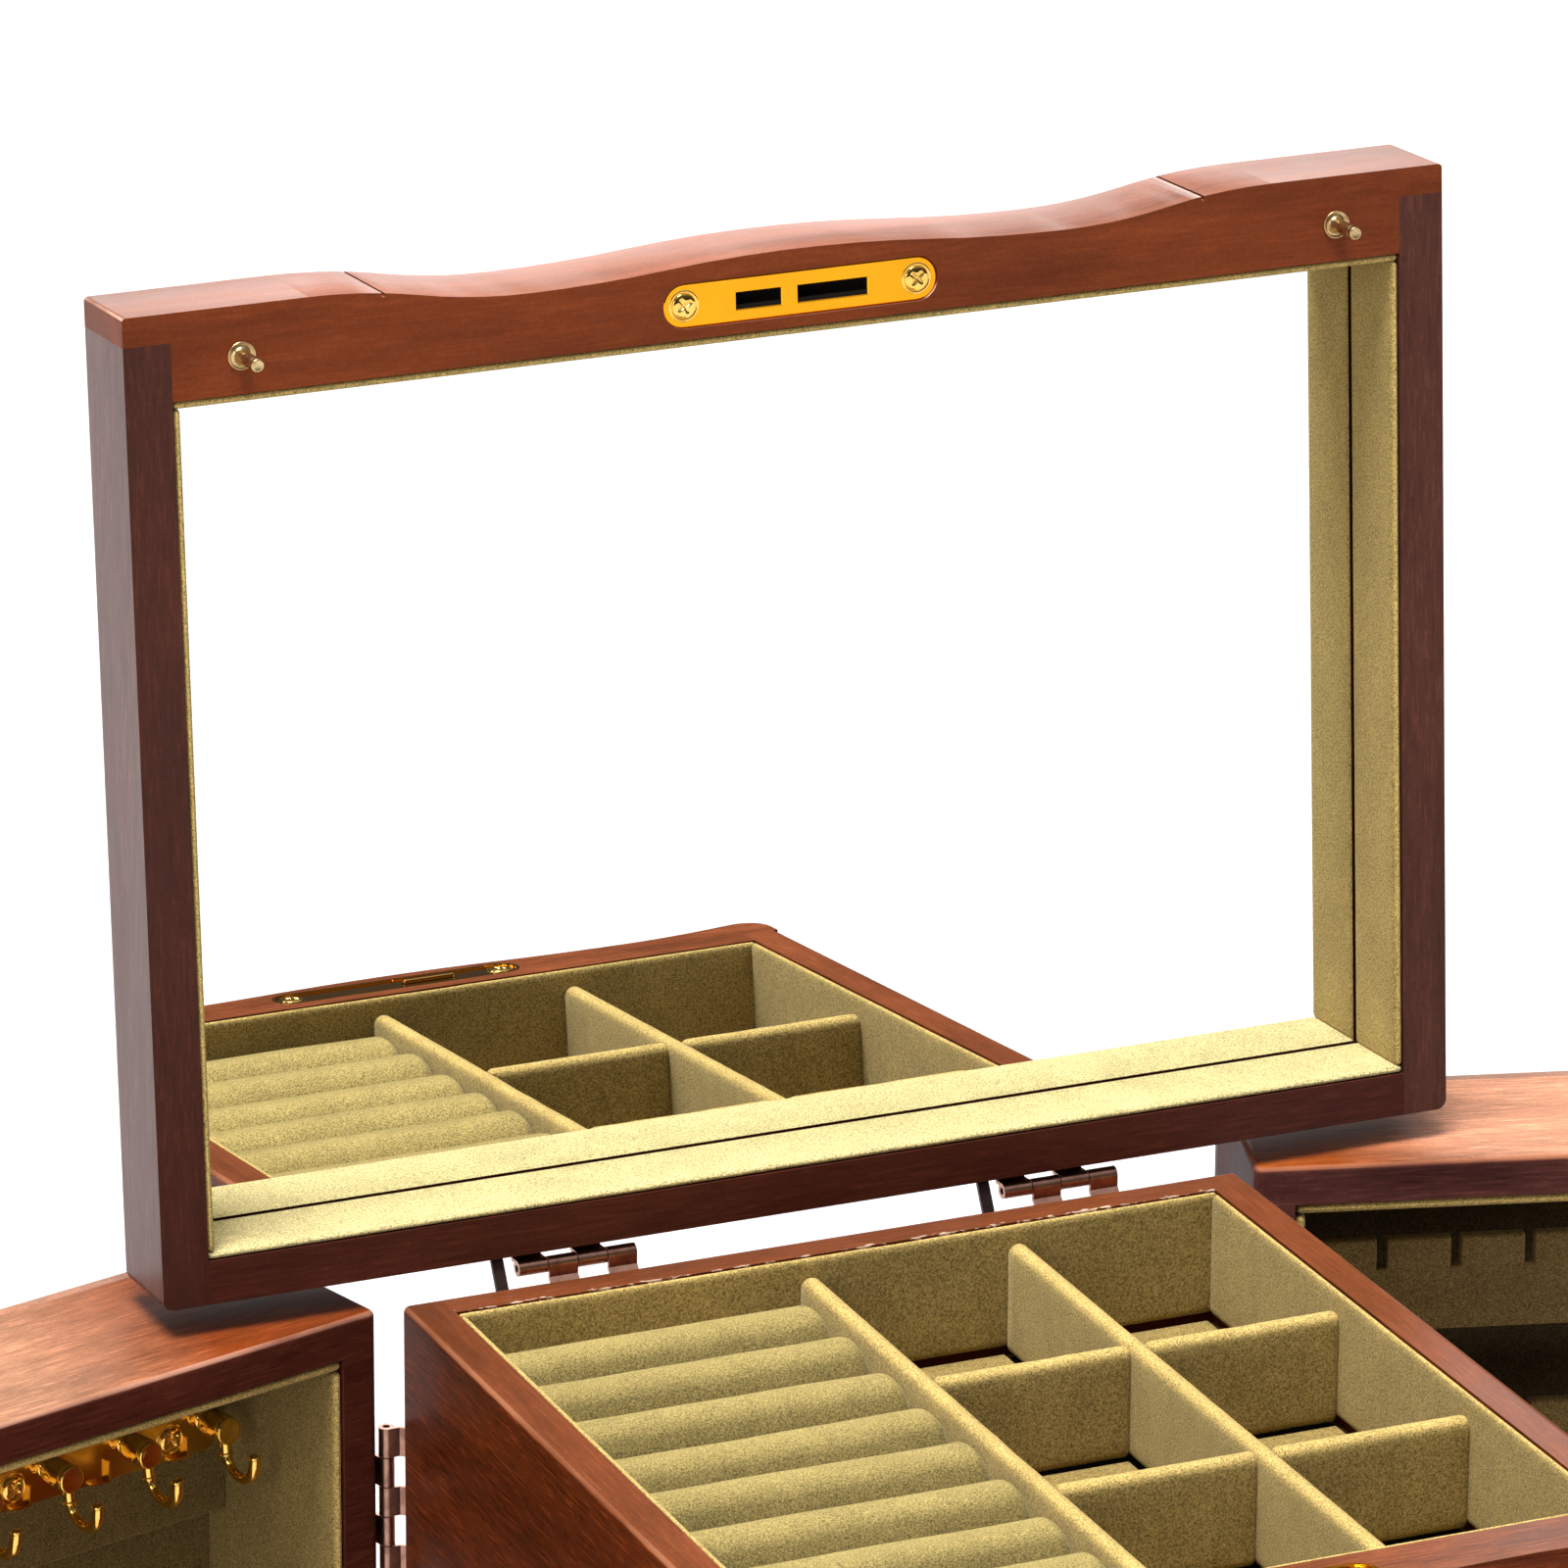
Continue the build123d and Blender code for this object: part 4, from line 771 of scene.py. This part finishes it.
def combs():
    """Padded boards slotted along the top: each tongue between two slots is a rounded block on one base."""
    face = DOOR_IN - COMB_DEPTH
    x0, x1 = face - COMB_THICK, face
    top = DOOR_TOP - DOOR_RIM - COMB_DROP
    y0, y1 = DOOR_FRONT + 0.0037, DOOR_END - 0.0037
    slots = [CHEST_BACK - SLOT_FIRST - k * SLOT_PITCH for k in range(SLOT_COUNT)]
    edges = [y1] + [v for s in slots for v in (s + SLOT_HALF, s - SLOT_HALF)] + [y0]
    parts = []
    for step in range(COMB_COUNT):
        z1 = top - step * COMB_PITCH
        cut = z1 - SLOT_DEEP
        parts.append(soft((x0, y0, z1 - COMB_HIGH), (x1, y1, cut), (0.0009,) * 3, 0.006))
        for a, b in zip(edges[::2], edges[1::2]):
            parts.append(soft((x0, b, cut - 0.0015), (x1, a, z1), (0.0014, 0.0009, 0.0014), 0.005))
    p, q = join(parts)
    add_mesh("earring_comb_pads", swing_right(p), flipped(q), "suede_comb", "right_door",
             ["earring_combs"], FILL)


# Drawers
DRAWER_COUNT, DRAWER_BOARD, DRAWER_SIDE_GAP, DRAWER_BACK_GAP = 4, 0.006, 0.0005, 0.014


def drawer_linings():
    """Suede in each drawer: a floor and four walls."""
    pitch = (CARCASS_HEIGHT - TRAY_RAIL_HEIGHT) / DRAWER_COUNT
    half = CHEST_HALF - SIDE_THICK - DRAWER_SIDE_GAP - DRAWER_BOARD
    y0, y1 = SIDE_FRONT, CHEST_BACK - BACK_THICK - DRAWER_BACK_GAP - DRAWER_BOARD
    t, r = 0.0015, (0.0007,) * 3
    for k in range(DRAWER_COUNT):
        high = CARCASS_LOW + CARCASS_HEIGHT - TRAY_RAIL_HEIGHT - k * pitch
        low = high - pitch + (0.004 if k == DRAWER_COUNT - 1 else 0.002) + 0.0004
        z0, z1 = low + 0.0035, high - 0.002 - 0.003
        parts = [soft((-half, y0, z0), (half, y1, z0 + t), r, 0.01, 0.0002, 90)]
        boxes = [((-half, y1 - t), (half, y1)), ((-half, y0), (half, y0 + t)),
                 ((-half, y0), (-half + t, y1)), ((half - t, y0), (half, y1))]
        parts += strips(boxes, z0, z1 - 0.001, r, 0.008, 0.0002, 91)
        add_mesh("drawer_%d_lining" % (k + 1), *join(parts), "suede", "drawer_%d" % (k + 1), (), FILL)


# ---------------------------------------------------------------- small metal pieces

def frame_at(place, axis):
    """Matrix whose Z is the axis and whose origin is the place."""
    return Matrix.Translation(Vector(place)) @ Vector(axis).to_track_quat("Z", "Y").to_matrix().to_4x4()


def screw_head(radius, high, twist):
    """Pan head with a cross recess in a countersunk ring, as a height over a disc.

    z = high (1 - (r/R)^2.6)^0.42 less a cross of two arms, w to either side, which deepens towards the
    middle; beyond R a shallow ring 0.12 mm high runs to 1.3 R.
    """
    spokes = 72
    shares = np.concatenate([np.linspace(0.03, 0.94, 18),
                             [0.965, 0.985, 0.995, 1.0, 1.03, 1.06, 1.1, 1.2, 1.26, 1.3]])
    rings = len(shares)
    ring = dict(zip(range(22, rings), (-0.00005, 0.00004, 0.00012, 0.00012, 0.00004, -0.0001)))
    points = [(0.0, 0.0, high * 0.2)]
    w, reach = radius * 0.12, radius * 0.62
    c, s = math.cos(twist), math.sin(twist)
    for i, r in enumerate(radius * shares):
        for t in np.linspace(0, 2 * math.pi, spokes, endpoint=False):
            x, y = r * math.cos(t), r * math.sin(t)
            z = high * max(0, 1 - (r / radius) ** 2.6) ** 0.42
            across = min(abs(x * c + y * s), abs(y * c - x * s))
            cut = 1 / (1 + math.exp((across - w) / (radius * 0.022)))
            cut *= 1 / (1 + math.exp((r - reach) / (radius * 0.03)))
            z -= cut * high * 0.8 * (1 - 0.45 * r / reach)
            points.append((x, y, ring.get(i, z)))
    quads = []
    for j in range(spokes):
        k = (j + 1) % spokes
        quads.append((0, 1 + j, 1 + k, 1 + k))
        for i in range(rings - 1):
            p = 1 + i * spokes
            quads.append((p + j, p + spokes + j, p + spokes + k, p + k))
    return np.array(points), np.array(quads)


def loft(rings, count):
    """Quads between closed rings of count points each."""
    return [(i * count + j, i * count + k, (i + 1) * count + k, (i + 1) * count + j)
            for i in range(rings - 1) for j, k in enumerate([*range(1, count), 0])]


def turned(profile, spokes=36):
    """Surface turned about Z from (height, radius) pairs in millimetres, first pair lowest."""
    a = np.linspace(0, 2 * math.pi, spokes, endpoint=False)
    points = np.array([(r * math.cos(t), r * math.sin(t), h) for h, r in profile for t in a]) / 1000
    return points, np.array(loft(len(profile), spokes))


def stadium(half, radius, lift, count=26):
    """Outline of two half circles joined by straight sides, counterclockwise, at one height."""
    a = np.linspace(-math.pi / 2, math.pi / 2, count)
    right = [(half + radius * math.cos(t), radius * math.sin(t), lift) for t in a]
    return right + [(-x, -y, lift) for x, y, _ in right]


def oblong(centre, half, low, high, lift):
    """Corners of a level rectangle, counterclockwise."""
    return [(centre - half, low, lift), (centre + half, low, lift), (centre + half, high, lift),
            (centre - half, high, lift)]


def strike_plate():
    """Strike plate of the lid: stadium with rounded rim and two slots with broken edges, dark inside.

    In its own frame: u along X, v towards the lid's back, w out of the wood, in millimetres. A near-black
    well under each slot is painted shade for the slot's dark inside, and leaves the bolt its room.
    """
    t, straight, slot_v, slot_half = 1.6, 33.8, 0.5, 2.25
    well_half, well_floor, shelf = 1.6, -2.0, t - 0.4
    levels = ((slot_v - slot_half, slot_v + slot_half, shelf), (-well_half, well_half, shelf),
              (-well_half, well_half, well_floor))
    rims = ((6.2, 0.2), (6.2, t - 0.6), (6.13, t - 0.3), (5.95, t - 0.09), (5.65, t), (5.4, t))
    rows = [stadium(straight, radius, lift) for radius, lift in rims]
    n = len(rows[0])
    points = [v for row in rows for v in row]
    quads = loft(len(rows), n)
    holes, index, wells = [], list(range((len(rows) - 1) * n, len(rows) * n)), []
    for centre, wide in ((-12.1, 13.0), (9.45, 20.2)):
        loops = []
        for grow, lift in ((0.32, t), (0.0, t - 0.3), (0.0, t - 0.5)):
            start, b = len(points), slot_half + grow
            points += oblong(centre, wide / 2 + grow, slot_v - b, slot_v + b, lift)
            loops.append(list(range(start, start + 4)))
        for upper, lower in zip(loops, loops[1:]):
            for j in range(4):
                k = (j + 1) % 4
                quads.append((upper[j], upper[k], lower[k], lower[j]))
        holes.append([Vector(points[i]) for i in loops[0][::-1]])
        index += loops[0][::-1]
        wells.append([v for level in levels for v in oblong(centre, wide / 2, *level)])
    for a, b, c in tessellate_polygon([[Vector(v) for v in rows[-1]]] + holes):
        quads.append((index[a], index[b], index[c]))

    def on_lid(p):
        """w points down when the lid is shut."""
        p = np.array(p) / 1000
        return raise_lid(np.stack([p[:, 0], p[:, 1] + LOCK_Y, LID_LOW + PLATE_SUNK + t / 1000 - p[:, 2]], 1))

    piece = add_mesh("strike_plate_gilt", on_lid(points), fix_winding(points, quads), "gold_plate", "lid",
                     ["strike_plate"])
    piece.data.set_sharp_from_angle(angle=math.radians(10))
    well_faces = [(4, 5, 1, 0), (3, 2, 6, 7), (11, 10, 9, 8)]
    well_faces += [(8 + k, 8 + (k + 1) % 4, 4 + (k + 1) % 4, 4 + k) for k in range(4)]
    # Near-black wells under the slots: painted shade for the slots' dark insides.
    for k, well in enumerate(wells):
        add_mesh("strike_slot_shade_%d" % (k + 1), on_lid(well), well_faces, "dark", "lid")


def fix_winding(points, faces):
    """Faces of a plate whose frame is mirrored in use, wound so that they look outwards afterwards."""
    out = []
    for f in faces:
        a, b, c = (np.array(points[i]) for i in f[:3])
        if len(f) == 3 and np.cross(b - a, c - a)[2] < 0:
            f = f[::-1]
        out.append(tuple(f[::-1]))
    return out


def locating_pins():
    """Two turned pins, each with a dished flange, a tapered root and a capped tip, a little out of square."""
    top = 11.7
    profile = [(0.0, 3.85), (0.45, 3.9), (0.62, 3.8), (0.66, 3.6), (0.55, 3.4), (0.32, 3.2), (0.3, 2.9),
               (0.45, 2.55), (0.9, 2.2), (1.7, 1.95), (3.0, 1.85), (top - 2.4, 1.75), (top - 2.2, 1.72),
               (top - 2.0, 1.6), (top - 1.8, 1.6), (top - 1.7, 1.7), (top - 1.6, 1.8), (top - 0.35, 1.82),
               (top - 0.12, 1.76), (top, 1.6), (top + 0.02, 1.4), (top - 0.06, 1.2), (top - 0.06, 0.0)]
    pin_x, pin_y, off_square = 0.1594, -0.1225, Vector((0.022, 0, -0.03))
    parts = []
    for side in (-1, 1):
        place = turned_point((side * pin_x, pin_y, LID_LOW + 0.00005), raise_lid)
        parts.append(placed(turned(profile), frame_at(place, Vector(LID_OUT) + off_square)))
    piece = add_mesh("locating_pin_pair", *join(parts), "brass", "lid", ["locating_pins"])
    piece.data.set_sharp_from_angle(angle=math.radians(50))


def knobs():
    """Turned knobs: flange, neck, flared head and shallow domed face."""
    profile = [(0.0, 4.3), (0.7, 4.4), (1.1, 4.1), (1.3, 3.4), (2.0, 2.8), (3.2, 2.6), (4.6, 2.7), (5.6, 3.2),
               (6.4, 4.1), (7.2, 5.2), (8.2, 6.0), (9.6, 6.4), (11.2, 6.5), (12.6, 6.3), (13.6, 5.7),
               (14.2, 4.9), (14.6, 3.6), (14.85, 2.0), (14.95, 0.0)]
    for n in range(1, DRAWER_COUNT + 1):
        name = "drawer_%d_knobs" % n
        v = np.array([tuple(c.co) for c in nodes[name].data.vertices])
        parts = []
        for side in (-1, 1):
            own = v[v[:, 0] * side > 0]
            lo, hi = own.min(0), own.max(0)
            place = ((lo[0] + hi[0]) / 2, hi[1], (lo[2] + hi[2]) / 2)
            parts.append(placed(turned(profile), frame_at(place, (0, -1, 0))))
        add_mesh("drawer_%d_knob_pair" % n, *join(parts), "gold", "drawer_%d" % n, [name])


def placed(mesh, matrix):
    """Points and faces with the points moved by a matrix."""
    p, q = mesh
    m = np.array(matrix)
    return p @ m[:3, :3].T + m[:3, 3], q


def screws(name, seats, radius, high, mat, body, replaces):
    """One piece of screw heads, each on a seat (place, axis) and turned differently."""
    parts = []
    for k, (place, axis) in enumerate(seats):
        parts.append(placed(screw_head(radius, high, 0.5 + 1.9 * k), frame_at(place, axis)))
    add_mesh(name, *join(parts), mat, body, replaces)


def turned_point(p, mover):
    """One point moved by raise_lid or swing_left."""
    return tuple(mover(np.array([p], float))[0])


def add_screws():
    """Heads in the lock plate, in the strike plate and under every second hook of the rail."""
    radius, high = 0.0034, 0.00068
    seats = [((s * LOCK_SCREW_X, LOCK_Y, RIM - PLATE_SUNK), (0, 0, 1)) for s in (-1, 1)]
    screws("lock_plate_screws", seats, radius, high, "gold", "chest", ["lock_screws"])
    places = [(s * LOCK_SCREW_X, LOCK_Y, LID_LOW + PLATE_SUNK) for s in (-1, 1)]
    seats = [(turned_point(place, raise_lid), LID_OUT) for place in places]
    screws("strike_plate_screws", seats, radius, high, "gold", "lid", ["strike_screws"])
    places = [(RAIL_FACE, CHEST_BACK - HOOK_FIRST - k * HOOK_PITCH - RAIL_SCREW_ASIDE,
               HOOK_Z - RAIL_SCREW_LOW) for k in range(0, HOOK_COUNT, 2)]
    seats = [(turned_point(place, swing_left), DOOR_OUT_WAY) for place in places]
    screws("hook_rail_heads", seats, 0.0036, 0.0013, "gold", "left_door", ["hook_rail_screws"])


def tube(path, radius, sides=14):
    """Round tube along a path, open at its ends: rings square to the path's direction."""
    path = np.array(path, float)
    tangent = np.gradient(path, axis=0)
    tangent /= np.linalg.norm(tangent, axis=1, keepdims=True)
    side = np.cross(tangent, [0.0, 1.0, 0.0])
    side /= np.linalg.norm(side, axis=1, keepdims=True)
    other = np.cross(tangent, side)
    a = np.linspace(0, 2 * math.pi, sides, endpoint=False)
    rings = []
    for p, s, o, r in zip(path, side, other, np.broadcast_to(radius, len(path))):
        rings.append(p + r * (np.cos(a)[:, None] * s + np.sin(a)[:, None] * o))
    return np.concatenate(rings), np.array(loft(len(path), sides))


def necklace_hooks():
    """J-hooks hung from turned posts, made on the shut left door: each post lies along X, its J in XZ."""
    post = turned([(0.0, 3.3), (0.3, 3.3), (0.8, 2.9), (1.6, 2.75), (2.6, 2.8), (3.4, 3.1), (3.9, 2.6),
                   (4.4, 2.45), (5.0, 2.6), (5.6, 3.3), (6.2, 3.95), (6.6, 4.05), (12.8, 4.05), (13.2, 3.95),
                   (13.4, 3.7), (13.6, 3.7), (14.0, 3.9), (14.7, 3.85), (14.95, 3.6), (15.0, 3.2),
                   (14.9, 2.8), (14.85, 0.0)], 40)
    post = placed(post, frame_at((0, 0, 0), (1, 0, 0)))
    near, bend, rise, drop = 0.0128, 0.0066, 0.0013, 0.0056
    line = [(near, 0, v) for v in np.linspace(0, -drop, 7)[:-1]]
    line += [(near + bend - bend * math.cos(t), 0, -drop - bend * math.sin(t))
             for t in np.linspace(0, math.pi, 26)]
    line += [(near + 2 * bend + 0.0002, 0, -drop + rise * v) for v in (0.5, 1.0)]
    radii = np.interp(np.arange(len(line)), [0, 6, 14, 30, len(line) - 1],
                      [0.0018, 0.0016, 0.00135, 0.0017, 0.0015])
    wire = tube(line, radii)
    collar = turned([(-0.45, 1.4), (-0.4, 1.8), (-0.15, 2.0), (0.15, 2.0), (0.4, 1.8), (0.45, 1.4)], 20)
    collar = placed(collar, frame_at(line[8], Vector(line[9]) - Vector(line[7])))
    cap = turned([(-0.3, 1.4), (0.0, 1.75), (0.35, 1.85), (0.7, 1.8), (0.95, 1.5), (1.1, 0.9),
                  (1.15, 0.0)], 20)
    cap = placed(cap, frame_at(line[-1], (-0.12, 0.0, 1.0)))
    one, quads = join([post, wire, collar, cap])
    parts = []
    for k in range(HOOK_COUNT):
        y = CHEST_BACK - HOOK_FIRST - k * HOOK_PITCH
        tilt = math.radians(rng.uniform(-5, 5))
        p = one.copy()
        yy, zz = p[:, 1].copy(), p[:, 2].copy()
        p[:, 1] = yy * math.cos(tilt) - zz * math.sin(tilt)
        p[:, 2] = yy * math.sin(tilt) + zz * math.cos(tilt)
        parts.append((p + [RAIL_FACE, y, HOOK_Z], quads))
    p, q = join(parts)
    piece = add_mesh("necklace_hook_set", swing_left(p), q, "gold", "left_door", ["necklace_hooks"])
    piece.data.set_sharp_from_angle(angle=math.radians(55))


# ---------------------------------------------------------------- dress the CAD nodes

dress("side", "chest_left_side", "chest_right_side")
dress("back", "chest_back")
dress("front", "tray_front_rail", "base_plinth", "base_board",
      *["drawer_%d_front" % n for n in range(1, DRAWER_COUNT + 1)])
dress("inner", "chest_bottom", "shelf_boards", *["drawer_%d_tray" % n for n in range(1, DRAWER_COUNT + 1)])
dress("lid_front", "lid_front_rail")
dress("lid_stile", "lid_left_stile")
dress("lid_stile_right", "lid_right_stile")
dress("lid_back", "lid_back_rail")
dress("lid_panel", "lid_panel")
dress("door", "left_door_frame")
dress("door_right", "right_door_frame")
dress("door_panel", "left_door_panel", "right_door_panel")
dress("gold", "lock_bolt", "keyhole_escutcheon")
dress("gold_rail", "hook_rail")
dress("gold_plate", "lock_plate")
dress("copper", "lid_hinge_leaves", "chest_lid_hinge_leaves", "left_door_hinge_leaves",
      "right_door_hinge_leaves", "chest_door_hinge_leaves", "hinge_pins", "chest_hinge_screws",
      "lid_hinge_screws", "left_door_hinge_screws", "right_door_hinge_screws")
dress("dark_steel", "lid_stop_arms")
dress("steel", "lock_case")
soften(0.0008, "chest_left_side", "chest_right_side", "chest_back", "tray_front_rail", "base_board",
       *["drawer_%d_front" % n for n in range(1, DRAWER_COUNT + 1)])
soften(0.0007, "lid_front_rail", "lid_left_stile", "lid_right_stile", "lid_back_rail")
soften(0.0007, "left_door_frame", "right_door_frame", "left_door_panel", "right_door_panel")
soften(0.0003, "lock_plate", "lock_bolt", "hook_rail")

add_camera()
add_stage()
tray_walls()
tray_floor_pads()
dividers()
ring_rolls()
lid_lining()
lid_mirror()
door_linings()
combs()
drawer_linings()
add_screws()
necklace_hooks()
strike_plate()
locating_pins()
knobs()
